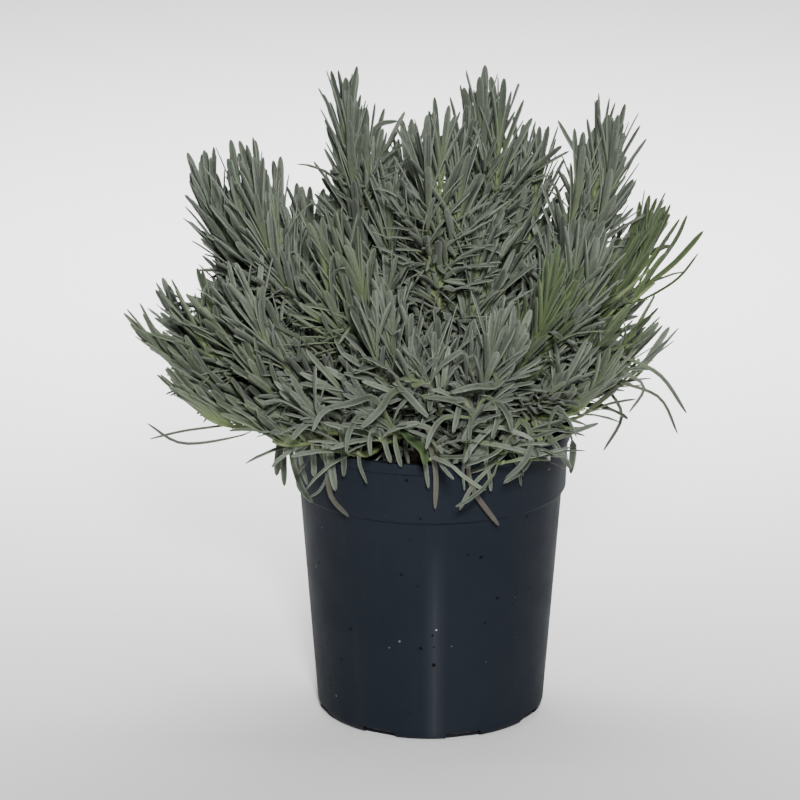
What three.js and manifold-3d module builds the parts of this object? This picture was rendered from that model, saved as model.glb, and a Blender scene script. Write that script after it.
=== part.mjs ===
// A young lavender bush in a round nursery pot, in millimetres with +Z up.
// The origin is the centre of the pot's flat underside, and the bush's front faces -Y.
import * as THREE from "three";
import { mergeVertices } from "three/addons/utils/BufferGeometryUtils.js";
import Module from "manifold-3d";

const wasm = await Module();
wasm.setup();
const { degToRad, lerp } = THREE.MathUtils;
const UP = new THREE.Vector3(0, 0, 1);
const WELD = 1e-3;
const SLIVER = 0.02;

// Pot: a thin moulded cup with a raised collar, a small flange and notches for drainage
const POT_HEIGHT = 180;
const POT_SIDES = 40;
const WALL = 1.8;
const FLANGE_RADIUS = 85;
const FLANGE_HEIGHT = 7;
const FLANGE_UNDERCUT = 0.6;
const RIM_CHAMFER = 0.8;
const COLLAR_TOP_RADIUS = 83.4;
const COLLAR_FOOT_RADIUS = 82.4;
const COLLAR_FOOT_HEIGHT = 143;
const COLLAR_STEP = 1.5;
const BODY_TOP_RADIUS = 80;
const BODY_FOOT_RADIUS = 69.8;
const FOOT_ROUNDING = 7;
const ROUNDING_STEPS = 2;
const NOTCH_COUNT = 8;
const NOTCH_WIDTH = 22;
const NOTCH_HEIGHT = 5.5;
const NOTCH_DEPTH = 14;
const FIRST_NOTCH_ANGLE = -28;

// Soil: fills the pot to a little below the rim, with an uneven top that rises to the crown
const SOIL_GAP = 0.3;
const SOIL_SIDES = 20;
const SOIL_TOP = 168;
const SOIL_RINGS = 3;
const MOUND_HEIGHT = 5;
const MOUND_RADIUS = 38;
const LUMP_HEIGHT = 1.2;

// Stems: square in section, as on all plants of this family, and thicker towards the soil
const STEM_SIDES = 4;
const STEM_STEPS = 5;
const STEM_FOOT_RADIUS = 2.5;
const STEM_TIP_RADIUS = 1.2;
const STEM_DEPTH = 14;
const STEM_COLLAR = 5;
const HOLE_GAP = 0.45;
const CROWN_SHARE = 0.32;
const STEM_SPACING = 9.5;
const SPREAD_ROUNDS = 40;
const FOOT_RISE = 0.38;
const FOOT_LEAN = 0.1;
const TIP_STRAIGHT = 0.4;

// Leaves: long narrow blades, nearly upright at the tip and spreading lower down
const LEAF_STEP = 6.9;
const LEAFY_SHARE = 0.86;
const LEAF_TIP_CROWDING = 3;
const LEAF_OVERTOP = 37;
const LEAF_PITCH_AT_TIP = 12;
const LEAF_SPREAD = 44;
const LEAF_SPREAD_RANGE = 14;
const LEAF_SPREAD_REACH = 85;
const LEAF_UNEVENNESS = 24;
const FIRST_LEAF_TURN = 45;
const LEAF_TURN = 90;
const LEAF_AZIMUTH_RANGE = 24;
const LEAF_BEND_AT_TIP = 3;
const LEAF_BEND_GAIN = 44;
const LEAF_BEND_REACH = 150;
const LEAF_BEND_RANGE = 20;
const LEAF_SIZE_RANGE = 0.24;
const LEAF_WIDTH_RANGE = 0.2;
const LEAF_LENGTH_REACH = 25;
const OUTWARD_BEND = 0.6;
const DOWNWARD_BEND = 0.4;
const LEAF_LENGTH_AT_TIP = 38;
const LEAF_LENGTH_GAIN = 5;
const LEAF_WIDTH = 5.5;
const LEAF_THICKNESS = 1.7;
const LEAF_WIDEST = 0.6;
const LEAF_ROOT_OFFSET = 0.3;
const LEAF_ROOT_SINK = 1.6;
const LEAF_GAP = 0.35;

// Each shoot: where its highest leaf ends, and how far its tip leans out from upright in degrees.
const SHOOTS = {
  left_tall: { tip: [-135, 20, 347], lean: 6 },
  left_broad: { tip: [-105, -20, 362], lean: 4 },
  left_inner: { tip: [-76, 50, 320], lean: 4 },
  left_mast: { tip: [-52, 15, 397], lean: 2 },
  left_middle: { tip: [-53, -60, 332], lean: 3 },
  centre_left: { tip: [-26, 0, 350], lean: 2 },
  front_left_upper: { tip: [-24, -78, 294], lean: 4 },
  centre_fan: { tip: [5, -32, 386], lean: 0 },
  right_mast: { tip: [32, 25, 395], lean: 2 },
  right_of_mast: { tip: [55, 42, 360], lean: 3 },
  right_tall: { tip: [101, 0, 382], lean: 2 },
  right_inner: { tip: [88, -42, 322], lean: 6 },
  right_green: { tip: [134, 36, 318], lean: 14, green: true },
  right_outer_green: { tip: [158, 4, 302], lean: 46, green: true },
  right_side_green: { tip: [138, -22, 266], lean: 32, green: true },
  front_green: { tip: [72, -64, 306], lean: 8, green: true },
  front_right_upper: { tip: [36, -84, 287], lean: 6 },
  right_low: { tip: [106, -62, 250], lean: 20 },
  right_edge_low: { tip: [120, -48, 224], lean: 48 },
  left_edge: { tip: [-180, -10, 254], lean: 34 },
  left_edge_back: { tip: [-163, 22, 266], lean: 22 },
  left_edge_front: { tip: [-150, -36, 245], lean: 30 },
  left_low: { tip: [-162, -56, 226], lean: 46 },
  left_front: { tip: [-112, -60, 256], lean: 22 },
  left_front_inner: { tip: [-80, -90, 240], lean: 26 },
  left_front_low: { tip: [-118, -92, 212], lean: 56 },
  front_left_low: { tip: [-56, -106, 214], lean: 45 },
  front_left_star: { tip: [-28, -104, 238], lean: 28 },
  front_centre: { tip: [-2, -94, 268], lean: 12 },
  front_centre_low: { tip: [4, -122, 218], lean: 50 },
  front_right: { tip: [28, -112, 246], lean: 26 },
  front_right_low: { tip: [56, -112, 220], lean: 42 },
  right_front_low: { tip: [84, -90, 214], lean: 46 },
  back_left_tall: { tip: [-104, 82, 326], lean: 8 },
  back_left: { tip: [-60, 106, 300], lean: 12 },
  back_centre_tall: { tip: [-14, 72, 352], lean: 3 },
  back_centre: { tip: [14, 118, 298], lean: 14 },
  back_right_tall: { tip: [54, 88, 336], lean: 6 },
  back_right: { tip: [98, 72, 322], lean: 8 },
  back_right_edge: { tip: [122, 104, 256], lean: 28 },
  back_left_edge: { tip: [-134, 92, 262], lean: 26 },
  back_low_left: { tip: [-76, 138, 228], lean: 42 },
  back_low: { tip: [-20, 148, 246], lean: 34 },
  back_low_right: { tip: [44, 144, 232], lean: 40 },
  back_side_left: { tip: [-160, 62, 222], lean: 48 },
  back_side_right: { tip: [148, 58, 236], lean: 40 },
};

// What a leaf that would touch another shoot tries in turn: a turn round its stem, a lift from it
// and a share of its length.
const WAYS_ROUND = [
  [0, 0, 1],
  [14, 0, 1],
  [-14, 0, 1],
  [28, -4, 1],
  [-28, -4, 1],
  [0, -10, 0.95],
  [0, 12, 0.95],
  [20, -12, 0.85],
  [-20, -12, 0.85],
  [44, 0, 0.85],
  [-44, 0, 0.85],
  [0, -16, 0.7],
  [90, 0, 0.7],
  [-90, 0, 0.7],
];

const plastic = new THREE.MeshStandardMaterial({ color: 0x24282d, roughness: 0.48, metalness: 0 });
const compost = new THREE.MeshStandardMaterial({ color: 0x2b211a, roughness: 1, metalness: 0 });
const greyLeaf = new THREE.MeshStandardMaterial({ color: 0x6b776a, roughness: 0.85, metalness: 0 });
const greenLeaf = new THREE.MeshStandardMaterial({ color: 0x58703f, roughness: 0.75, metalness: 0 });

// The same number from 0 to 1 each time for the same shoot, leaf and use.
function chance(shoot, leaf, use) {
  const wave = Math.sin(shoot * 12.9898 + leaf * 78.233 + use * 37.719) * 43758.5453;
  return wave - Math.floor(wave);
}

// A number that starts at 0, rises quickly and levels off at 1.
function settle(distance, reach) {
  return 1 - Math.exp(-distance / reach);
}

// A closed geometry as a solid that can be joined and cut.
function solidOf(geometry) {
  geometry.deleteAttribute("normal");
  geometry.deleteAttribute("uv");
  const merged = mergeVertices(geometry, WELD);
  const corners = [];
  for (let i = 0; i < merged.index.count; i += 3) {
    const [a, b, c] = [0, 1, 2].map((n) => merged.index.getX(i + n));
    if (a !== b && b !== c && c !== a) corners.push(a, b, c);
  }
  const vertProperties = merged.attributes.position.array;
  const triVerts = new Uint32Array(corners);
  return new wasm.Manifold(new wasm.Mesh({ numProp: 3, vertProperties, triVerts }));
}

function joined(solids) {
  return solids.reduce((whole, next) => whole.add(next));
}

// Solids joined into the one body with the most volume, so that sealed hollows are filled.
function oneBody(solids) {
  const bodies = joined(solids).simplify(SLIVER).decompose();
  return bodies.reduce((largest, next) => (next.volume() > largest.volume() ? next : largest));
}

function meshOf(name, solid, material) {
  const { vertProperties, triVerts } = solid.getMesh();
  const geometry = new THREE.BufferGeometry();
  geometry.setAttribute("position", new THREE.BufferAttribute(vertProperties, 3));
  geometry.setIndex(new THREE.BufferAttribute(triVerts, 1));
  geometry.computeVertexNormals();
  const mesh = new THREE.Mesh(geometry, material);
  mesh.name = name;
  return mesh;
}

// A profile of [radius, height] points turned round +Z.
function turned(profile, sides) {
  const points = profile.map(([radius, height]) => new THREE.Vector2(radius, height));
  return new THREE.LatheGeometry(points, sides).rotateX(Math.PI / 2);
}

// A closed rod through rings, each with its centre, two axes and how far it reaches along them.
function rod(sides, rings) {
  const geometry = new THREE.CylinderGeometry(1, 1, 1, sides, rings.length - 1);
  const place = geometry.attributes.position;
  const corner = new THREE.Vector3();
  for (let i = 0; i < place.count; i++) {
    corner.fromBufferAttribute(place, i);
    const ring = rings[Math.round((0.5 - corner.y) * (rings.length - 1))];
    const point = ring.centre.clone();
    point.addScaledVector(ring.side, corner.x * ring.width);
    point.addScaledVector(ring.back, corner.z * ring.thickness);
    place.setXYZ(i, point.x, point.y, point.z);
  }
  return solidOf(geometry);
}

// The quarter turn at the pot's foot, from the underside up to the wall.
function footRounding(wallRadius, floor, rounding) {
  return Array.from({ length: ROUNDING_STEPS + 1 }, (_, i) => {
    const turn = (i / ROUNDING_STEPS) * (Math.PI / 2);
    return [wallRadius - rounding * (1 - Math.sin(turn)), floor + rounding * (1 - Math.cos(turn))];
  });
}

// The inside of the pot's wall from the foot to the mouth, drawn in by a gap.
function innerWall(gap) {
  const inset = WALL + gap;
  return [
    ...footRounding(BODY_FOOT_RADIUS - inset, inset, FOOT_ROUNDING - WALL),
    [BODY_TOP_RADIUS - inset, COLLAR_FOOT_HEIGHT - COLLAR_STEP + gap],
    [COLLAR_FOOT_RADIUS - inset, COLLAR_FOOT_HEIGHT + gap],
  ];
}

function potSolid() {
  const outside = [
    [0, 0],
    ...footRounding(BODY_FOOT_RADIUS, 0, FOOT_ROUNDING),
    [BODY_TOP_RADIUS, COLLAR_FOOT_HEIGHT - COLLAR_STEP],
    [COLLAR_FOOT_RADIUS, COLLAR_FOOT_HEIGHT],
    [COLLAR_TOP_RADIUS, POT_HEIGHT - FLANGE_HEIGHT],
    [FLANGE_RADIUS, POT_HEIGHT - FLANGE_HEIGHT + FLANGE_UNDERCUT],
    [FLANGE_RADIUS, POT_HEIGHT - RIM_CHAMFER],
    [FLANGE_RADIUS - RIM_CHAMFER, POT_HEIGHT],
  ];
  const mouth = [COLLAR_TOP_RADIUS - WALL, POT_HEIGHT];
  const inside = [[0, WALL], ...innerWall(0), mouth].reverse();
  const cup = solidOf(turned([...outside, ...inside], POT_SIDES));
  const notches = Array.from({ length: NOTCH_COUNT }, (_, i) => {
    const notch = new THREE.BoxGeometry(NOTCH_WIDTH, NOTCH_DEPTH, 2 * NOTCH_HEIGHT);
    notch.translate(0, -BODY_FOOT_RADIUS, 0);
    notch.rotateZ(degToRad(FIRST_NOTCH_ANGLE + (360 / NOTCH_COUNT) * i));
    return solidOf(notch);
  });
  return cup.subtract(joined(notches));
}

// The height of the soil's top, with a mound at the crown and small lumps.
function soilHeight(x, y) {
  const mound = MOUND_HEIGHT * Math.exp(-(x * x + y * y) / MOUND_RADIUS ** 2);
  const lumps = Math.sin(0.11 * x + 0.4) * Math.cos(0.13 * y) + 0.6 * Math.sin(0.31 * x + 0.23 * y);
  return SOIL_TOP + mound + LUMP_HEIGHT * lumps;
}

function soilBlock() {
  const wall = innerWall(SOIL_GAP);
  const edge = wall.at(-1)[0] + (COLLAR_TOP_RADIUS - COLLAR_FOOT_RADIUS) / 2;
  const top = Array.from({ length: SOIL_RINGS + 1 }, (_, i) => [edge * (1 - i / SOIL_RINGS), SOIL_TOP]);
  const geometry = turned([[0, wall[0][1]], ...wall, ...top], SOIL_SIDES);
  const place = geometry.attributes.position;
  for (let i = 0; i < place.count; i++) {
    const onTop = place.getZ(i) > SOIL_TOP - WELD;
    if (onTop) place.setZ(i, soilHeight(place.getX(i), place.getY(i)));
  }
  return solidOf(geometry);
}

// Where each stem stands: nearer the middle than its tip, and clear of the other stems.
function standingPlaces(shoots) {
  const places = shoots.map(({ tip }) => new THREE.Vector2(tip[0], tip[1]).multiplyScalar(CROWN_SHARE));
  for (let round = 0; round < SPREAD_ROUNDS; round++) {
    places.forEach((one, i) => {
      for (const other of places.slice(i + 1)) {
        const apart = other.clone().sub(one);
        const short = STEM_SPACING - apart.length();
        if (short > 0) {
          apart.setLength(short / 2);
          other.add(apart);
          one.sub(apart);
        }
      }
    });
  }
  return places;
}

// A stem's course: straight up out of the soil, out over the rim and up or over to its tip.
function stemCurve(shoot, place) {
  const foot = new THREE.Vector3(place.x, place.y, soilHeight(place.x, place.y) + STEM_COLLAR);
  const tip = new THREE.Vector3(...shoot.tip);
  const out = tip.clone().sub(foot).setZ(0).normalize();
  const lean = degToRad(shoot.lean);
  const heading = out.clone().multiplyScalar(Math.sin(lean)).addScaledVector(UP, Math.cos(lean));
  const end = tip.clone().addScaledVector(heading, -LEAF_OVERTOP);
  const span = end.distanceTo(foot);
  const rise = foot.clone().addScaledVector(UP, span * FOOT_RISE).addScaledVector(out, span * FOOT_LEAN);
  const approach = end.clone().addScaledVector(heading, -span * TIP_STRAIGHT);
  return { curve: new THREE.CubicBezierCurve3(foot, rise, approach, end), out };
}

// The point at a share of a stem's course, on the straight stretches that its solid is made of.
function stemPoint(curve, share) {
  const step = Math.min(Math.floor(share * STEM_STEPS), STEM_STEPS - 1);
  const from = curve.getPointAt(step / STEM_STEPS);
  return from.lerp(curve.getPointAt((step + 1) / STEM_STEPS), share * STEM_STEPS - step);
}

// The ring of a stem at a share of its course, widened by a gap.
function stemRing(curve, out, share, gap = 0) {
  const heading = curve.getTangentAt(share);
  const side = new THREE.Vector3().crossVectors(out, UP);
  const back = new THREE.Vector3().crossVectors(heading, side);
  const width = lerp(STEM_FOOT_RADIUS, STEM_TIP_RADIUS, share) + gap;
  return { centre: stemPoint(curve, share), side, back, width, thickness: width };
}

// The stretch of a stem that stands in the soil, or the hole that it stands in.
function standingRings(curve, out, depth, gap) {
  const top = stemRing(curve, out, 0, gap);
  const level = { ...top, back: new THREE.Vector3().crossVectors(UP, top.side) };
  return [{ ...level, centre: level.centre.clone().addScaledVector(UP, -depth) }, level];
}

function stemSolid({ curve, out }) {
  const [bottom, top] = standingRings(curve, out, STEM_DEPTH + STEM_COLLAR, 0);
  const rings = [bottom, top];
  for (let step = 1; step <= STEM_STEPS; step++) rings.push(stemRing(curve, out, step / STEM_STEPS));
  return rod(STEM_SIDES, rings);
}

function holeSolid({ curve, out }) {
  const depth = STEM_DEPTH + STEM_COLLAR + HOLE_GAP;
  const [bottom, top] = standingRings(curve, out, depth, HOLE_GAP);
  const above = { ...top, centre: top.centre.clone().addScaledVector(UP, STEM_DEPTH) };
  return rod(STEM_SIDES, [bottom, above]);
}

// A leaf's root, its first heading, the way it bends, its bend and its size, from its place down the stem.
function leafShape(number, { curve, out }, leaf, [turn, lift, share]) {
  const fromTip = (LEAF_STEP * leaf * leaf) / (leaf + LEAF_TIP_CROWDING);
  const along = Math.max(0, 1 - fromTip / curve.getLength());
  const axis = curve.getTangentAt(along);
  const ring = stemRing(curve, out, along);
  const stray = LEAF_AZIMUTH_RANGE * (chance(number, leaf, 1) - 0.5);
  const around = degToRad(FIRST_LEAF_TURN + LEAF_TURN * (leaf + number) + stray + turn);
  const outward = ring.side.clone().multiplyScalar(Math.cos(around));
  outward.addScaledVector(ring.back, Math.sin(around));
  const spread = LEAF_SPREAD + LEAF_SPREAD_RANGE * chance(number, 0, 6);
  const unevenness = LEAF_UNEVENNESS * (chance(number, leaf, 2) - 0.5);
  const opening = LEAF_PITCH_AT_TIP + spread * settle(fromTip, LEAF_SPREAD_REACH);
  const pitch = degToRad(opening + unevenness + lift);
  const heading = axis.clone().multiplyScalar(Math.cos(pitch)).addScaledVector(outward, Math.sin(pitch));
  const bendWay = outward.clone().multiplyScalar(OUTWARD_BEND).addScaledVector(UP, -DOWNWARD_BEND);
  bendWay.addScaledVector(heading, -bendWay.dot(heading)).normalize();
  const curl = LEAF_BEND_RANGE * (chance(number, leaf, 3) - 0.5);
  const bend = degToRad(LEAF_BEND_AT_TIP + LEAF_BEND_GAIN * settle(fromTip, LEAF_BEND_REACH) + curl);
  const size = 1 + LEAF_SIZE_RANGE * (chance(number, leaf, 4) - 0.5);
  const grown = LEAF_LENGTH_AT_TIP + LEAF_LENGTH_GAIN * settle(fromTip, LEAF_LENGTH_REACH);
  const length = grown * size * share;
  const width = LEAF_WIDTH * (1 + LEAF_WIDTH_RANGE * (chance(number, leaf, 5) - 0.5));
  const root = ring.centre.addScaledVector(outward, LEAF_ROOT_OFFSET * ring.width);
  root.addScaledVector(heading, -LEAF_ROOT_SINK);
  return { root, heading, bendWay, bend, length, width };
}

// A three-sided blade that bends along an arc, fattened by a gap.
function blade({ root, heading, bendWay, bend, length, width }, gap = 0) {
  const side = new THREE.Vector3().crossVectors(bendWay, heading);
  const ring = (share, widthShare) => {
    const turn = bend * share;
    const centre = root.clone();
    centre.addScaledVector(heading, (length * Math.sin(turn)) / bend);
    centre.addScaledVector(bendWay, (length * (1 - Math.cos(turn))) / bend);
    const back = bendWay.clone().multiplyScalar(Math.cos(turn)).addScaledVector(heading, -Math.sin(turn));
    const thickness = (widthShare * LEAF_THICKNESS + 3 * gap) / 1.5;
    centre.addScaledVector(back, thickness / 2 - gap);
    return { centre, side, back, width: (widthShare * width) / Math.sqrt(3) + 2 * gap, thickness };
  };
  return rod(3, [ring(0, 0), ring(LEAF_WIDEST, 1), ring(1 + gap / length, 0)]);
}

function boxesMeet(one, other) {
  return [0, 1, 2].every((n) => one.min[n] < other.max[n] && other.min[n] < one.max[n]);
}

// Places every shoot's leaves from the tips down, each bent clear of what belongs to other nodes.
function leafyShoots(stems, fixed) {
  const boxed = (solid, owner) => ({ solid, owner, box: solid.boundingBox() });
  const taken = fixed.map((solid) => boxed(solid, -1));
  stems.forEach((stem, number) => taken.push(boxed(stem.solid, number)));
  const shoots = stems.map((stem) => [stem.solid]);
  const leafyLengths = stems.map((stem) => stem.curve.getLength() * LEAFY_SHARE);
  const leafCounts = leafyLengths.map((length) => Math.floor(length / LEAF_STEP) + 2);
  for (let leaf = 0; leaf < Math.max(...leafCounts); leaf++) {
    stems.forEach((stem, number) => {
      if (leaf >= leafCounts[number]) return;
      for (const way of WAYS_ROUND) {
        const shape = leafShape(number, stem, leaf, way);
        const room = boxed(blade(shape, LEAF_GAP), number);
        const near = taken.filter((other) => other.owner !== number && boxesMeet(room.box, other.box));
        if (near.every((other) => room.solid.intersect(other.solid).isEmpty())) {
          const clear = blade(shape);
          shoots[number].push(clear);
          taken.push(boxed(clear, number));
          return;
        }
      }
    });
  }
  return shoots.map(oneBody);
}

const names = Object.keys(SHOOTS);
const rows = Object.values(SHOOTS);
const places = standingPlaces(rows);
const stems = rows.map((row, i) => {
  const course = stemCurve(row, places[i]);
  return { ...course, solid: stemSolid(course) };
});
const pot = potSolid();
const soil = soilBlock().subtract(joined(stems.map(holeSolid)));
const shoots = leafyShoots(stems, [pot, soil]);

const plant = new THREE.Group();
shoots.forEach((solid, i) => {
  plant.add(meshOf(`shoot_${names[i]}`, solid, rows[i].green ? greenLeaf : greyLeaf));
});

const pottedLavender = new THREE.Group();
pottedLavender.add(meshOf("pot", pot, plastic), meshOf("soil", soil, compost), plant);

export default pottedLavender;
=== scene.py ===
"""A young lavender bush in a round nursery pot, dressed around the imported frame. Lengths are in
millimetres until a mesh is made, and the shoots' table and rules repeat those of the solids."""
import math
from collections import namedtuple

import bmesh
import bpy
import numpy as np
from mathutils import Matrix, Vector, noise


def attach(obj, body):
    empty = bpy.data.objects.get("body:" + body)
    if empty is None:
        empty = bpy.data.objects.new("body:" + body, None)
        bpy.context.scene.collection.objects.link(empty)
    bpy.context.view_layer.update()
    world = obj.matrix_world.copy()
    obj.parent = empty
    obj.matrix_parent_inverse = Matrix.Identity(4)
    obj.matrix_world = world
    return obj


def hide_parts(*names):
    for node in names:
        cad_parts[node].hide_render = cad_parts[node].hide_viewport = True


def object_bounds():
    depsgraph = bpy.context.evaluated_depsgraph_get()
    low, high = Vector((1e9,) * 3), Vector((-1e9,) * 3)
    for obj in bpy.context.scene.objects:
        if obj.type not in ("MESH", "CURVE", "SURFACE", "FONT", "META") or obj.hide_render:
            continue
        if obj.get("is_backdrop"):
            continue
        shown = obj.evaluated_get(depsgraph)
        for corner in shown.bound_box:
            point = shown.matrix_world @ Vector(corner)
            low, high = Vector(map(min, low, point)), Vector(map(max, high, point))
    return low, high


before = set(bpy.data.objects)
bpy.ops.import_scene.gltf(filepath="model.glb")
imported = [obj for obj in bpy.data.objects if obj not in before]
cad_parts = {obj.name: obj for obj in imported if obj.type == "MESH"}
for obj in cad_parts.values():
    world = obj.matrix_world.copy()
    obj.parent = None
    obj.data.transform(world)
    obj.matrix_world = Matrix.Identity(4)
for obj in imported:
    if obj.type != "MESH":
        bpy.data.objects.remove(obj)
cad_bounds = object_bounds()

MM = 0.001
UP = np.array([0.0, 0.0, 1.0])

# What counts as the same length in metres, and what keeps a vector from coming out as nothing
TOLERANCE = 1e-6
NUDGE = 0.01

# The wave that stands in for chance
SHOOT_WEIGHT = 12.9898
LEAF_WEIGHT = 78.233
USE_WEIGHT = 37.719
WAVE_SCALE = 43758.5453

# Camera, in metres: far away with a long lens, looking down a little from the front
CAMERA_ELEVATION = math.radians(16.5)
CAMERA_DISTANCE = 2.5
CAMERA_TARGET = (-0.0188, 0.0, 0.195)
CAMERA_CLIP_END = 20.0
FRAME_WIDTH_AT_TARGET = 0.4856
SENSOR_WIDTH = 36.0

# Light: a soft studio, with each lamp's place, target, size in metres and power in watts
WORLD_STRENGTH = 0.05
LIGHTS = (
    ("key", (0.1, -2.25, 1.3), (0, 0, 0.2), 0.3, 98),
    ("overhead", (0.0, -0.5, 2.5), (0, 0, 0.1), 1.6, 15),
    ("background_wash", (0.0, 0.9, 1.5), (0, 2.6, 0), 1.5, 130),
    ("foreground_wash", (0.0, -2.6, 1.5), (0, -4.8, 0), 1.5, 110),
)

# The floor reaches as far as this to each side.
FLOOR_REACH = 14000.0

# Pot
POT_HEIGHT = 180.0
POT_SIDES = 160
WALL = 1.8
FLANGE_RADIUS = 85.0
FLANGE_HEIGHT = 7.0
FLANGE_UNDERCUT = 0.6
COLLAR_TOP_RADIUS = 83.4
COLLAR_FOOT_RADIUS = 82.4
COLLAR_FOOT_HEIGHT = 143.0
COLLAR_STEP = 1.5
BODY_TOP_RADIUS = 80.0
BODY_FOOT_RADIUS = 69.8
FOOT_ROUNDING = 7.0
ROUNDING_STEPS = 8
CORNER_RADIUS = 0.8
CORNER_SHARE = 0.4
SHARP_ANGLE = math.radians(34)
NOTCH_COUNT = 8
NOTCH_WIDTH = 22.0
NOTCH_HEIGHT = 5.5
NOTCH_DEPTH = 14.0
NOTCH_CORNER = 2.5
NOTCH_CORNER_STEPS = 5
FIRST_NOTCH_ANGLE = -28.0
# Painted highlight: a soft lighter stripe down the front, where it stands across, how far it reaches to each
# side, the height where it has faded out and how far it fades
HIGHLIGHT_STRIPE_X = 2.0
HIGHLIGHT_STRIPE_REACH = 9.0
HIGHLIGHT_STRIPE_TOP = 132.0
HIGHLIGHT_STRIPE_FADE = 50.0

# Soil: a low mound with lumps, and ripples on them, then crumbs on its surface
SOIL_GAP = 0.3
SOIL_SIDES = 120
SOIL_RINGS = 36
SOIL_WALL_STEPS = 3
SOIL_TOP = 168.0
MOUND_HEIGHT = 5.0
MOUND_RADIUS = 38.0
LUMP_HEIGHT = 1.2
LUMP_WAVES = (0.11, 0.13)
LUMP_SHIFT = 0.4
RIPPLE_WAVES = (0.31, 0.23)
RIPPLE_SHARE = 0.6
CRUMB_HEIGHT = 1.3
CRUMB_SCALE = 0.22
CRUMB_FRACTAL = (0.8, 2.1, 4)

# Grains on the soil: how many, the seed of their draws, their least and largest size and how uneven
# they are. Each has its own shape and turn, and is sunk in a little.
CRUMBS = {"count": 420, "seed": 300, "sizes": (0.6, 2.6), "roughness": 0.7}
PERLITE = {"count": 90, "seed": 400, "sizes": (0.6, 1.9), "roughness": 0.5}
SCATTER_RADIUS = 78.0
SCATTER_RISE = 0.25
GRAIN_SIDES = (0.6, 0.8)
GRAIN_WAVES = 1.7
GRAIN_SHIFT = 0.37
GRAIN_AXIS_RISE = 0.3
GRAIN_SPIN = 6.28

# Fallen leaves. Here and in the small leaves, a pair is a least value and how much more it can be.
LITTER_COUNT = 70
LITTER_SEED = 700
LITTER_RADIUS = (20.0, 54.0)
LITTER_HEIGHT = 1.2
LITTER_RISE = 0.12
LITTER_TILT = 0.2
LITTER_DRYNESS = (0.7, 0.3)

# Stems
STEM_FOOT_RADIUS = 2.5
STEM_TIP_RADIUS = 1.2
STEM_DEPTH = 14.0
STEM_COLLAR = 5.0
STEM_SIDES = 8
STEM_RINGS = 48
STEM_SLIMNESS = 0.8
STEM_SWELLING = 0.03
STEM_SQUARENESS = 0.08
CROWN_SHARE = 0.32
STEM_SPACING = 9.5
SPREAD_ROUNDS = 40
FOOT_RISE = 0.38
FOOT_LEAN = 0.1
TIP_STRAIGHT = 0.4
CURVE_SAMPLES = 200
COURSE_SAMPLES = 80

# Side stems: how far below the tip they fork off, how far they end below it, how far aside they rise and
# how their draws differ from those of the stem
FORK_DEPTH = 82.0
FORK_SHARE = 0.62
BRANCH_DROPS = (3.0, 10.0, 18.0)
BRANCH_RISE = 38.0
BRANCH_OFFSET = 11.0
LEANING_TAKES = 0.8
BRANCH_TURN = 120.0
BRANCH_TURN_RANGE = 90.0
BRANCH_SAMPLES = 40
BRANCH_RINGS = 14
BRANCH_SIDES = 5
BRANCH_RADIUS = 1.1
BRANCH_HEIGHT = 0.55
LOOSE_HAS_ONE_BRANCH = 0.5
STRAND_SEED = 0.37

# Leaves: where they stand, how they turn and spread, how they bend, and their size. The key tells the
# second leaf of a pair from the first in the draws.
LEAF_STEP = 6.9
LEAFY_SHARE = 0.86
LEAF_TIP_CROWDING = 3.0
LEAF_OVERTOP = 37.0
TIP_DROP = 4.5
DENSE_START = 66.0
DENSE_REACH = 96.0
TWIN_KEY = 500
FIRST_LEAF_TURN = 45.0
LEAF_TURN = 90.0
LEAF_AZIMUTH_RANGE = 30.0
LEAF_PITCH_AT_TIP = 9.0
LEAF_SPREAD = 31.0
LEAF_SPREAD_RANGE = 8.0
LEAF_SPREAD_REACH = 75.0
LEAF_SPREAD_ONSET = 1.5
UPWARD_PULL = 1.0
OUTWARD_BEND = 0.6
DOWNWARD_BEND = 0.4
LOOSE_OUTWARD_LOSS = 0.3
LOOSE_DOWNWARD_GAIN = 0.5
LEAF_BEND_AT_TIP = 5.0
LEAF_BEND_GAIN = 12.0
LEAF_BEND_REACH = 80.0
LEAST_BEND = 0.02
LOOSE_BEND = 66.0
LEAF_ARCH = 55.0
LEAF_LENGTH_AT_TIP = 40.0
LEAF_LENGTH_GAIN = 5.0
LEAF_LENGTH_REACH = 25.0
LOOSE_LENGTH = 2.0
LEAF_WIDTH = 4.5
LEAF_WIDTH_RANGE = 0.24
LEAF_NARROWING = 0.38

# How much the leaves of a tidy shoot vary, and how much more those of a loose one do: in pitch, bend
# and the bend's direction (degrees), sway and twist (radians), size and the share with an arch.
TIDY = {"pitch": 18.0, "bend": 16.0, "roll": 60.0, "sway": 0.06, "twist": 1.0, "size": 0.2, "arch": 0.03}
LOOSER = {"pitch": 46.0, "bend": 80.0, "roll": 120.0, "sway": 0.2, "twist": 1.2, "size": 0.16, "arch": 0.12}

# A tidy shoot's leaves get looser too, from this far below its tip.
LOOSENESS_START = 112.0
LOOSENESS_REACH = 60.0
LOWER_LOOSENESS = 0.6

# Tones: as painted shade, leaves further below a tidy shoot's tip and the highest ones are darker, and leaves
# near the soil's middle are often dry.
LOW_LEAF_PAINTED_SHADE = 0.5
LOW_LEAF_SHADE_REACH = 90.0
HIGH_LEAF_PAINTED_SHADE = 0.6
HIGH_LEAF_SHADE_START = 250.0
HIGH_LEAF_SHADE_REACH = 80.0
DRY_REACH = 26.0
DRY_RADIUS = 130.0
DRY_CONTRAST = 2.2
DRY_THRESHOLD = 0.5

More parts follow.
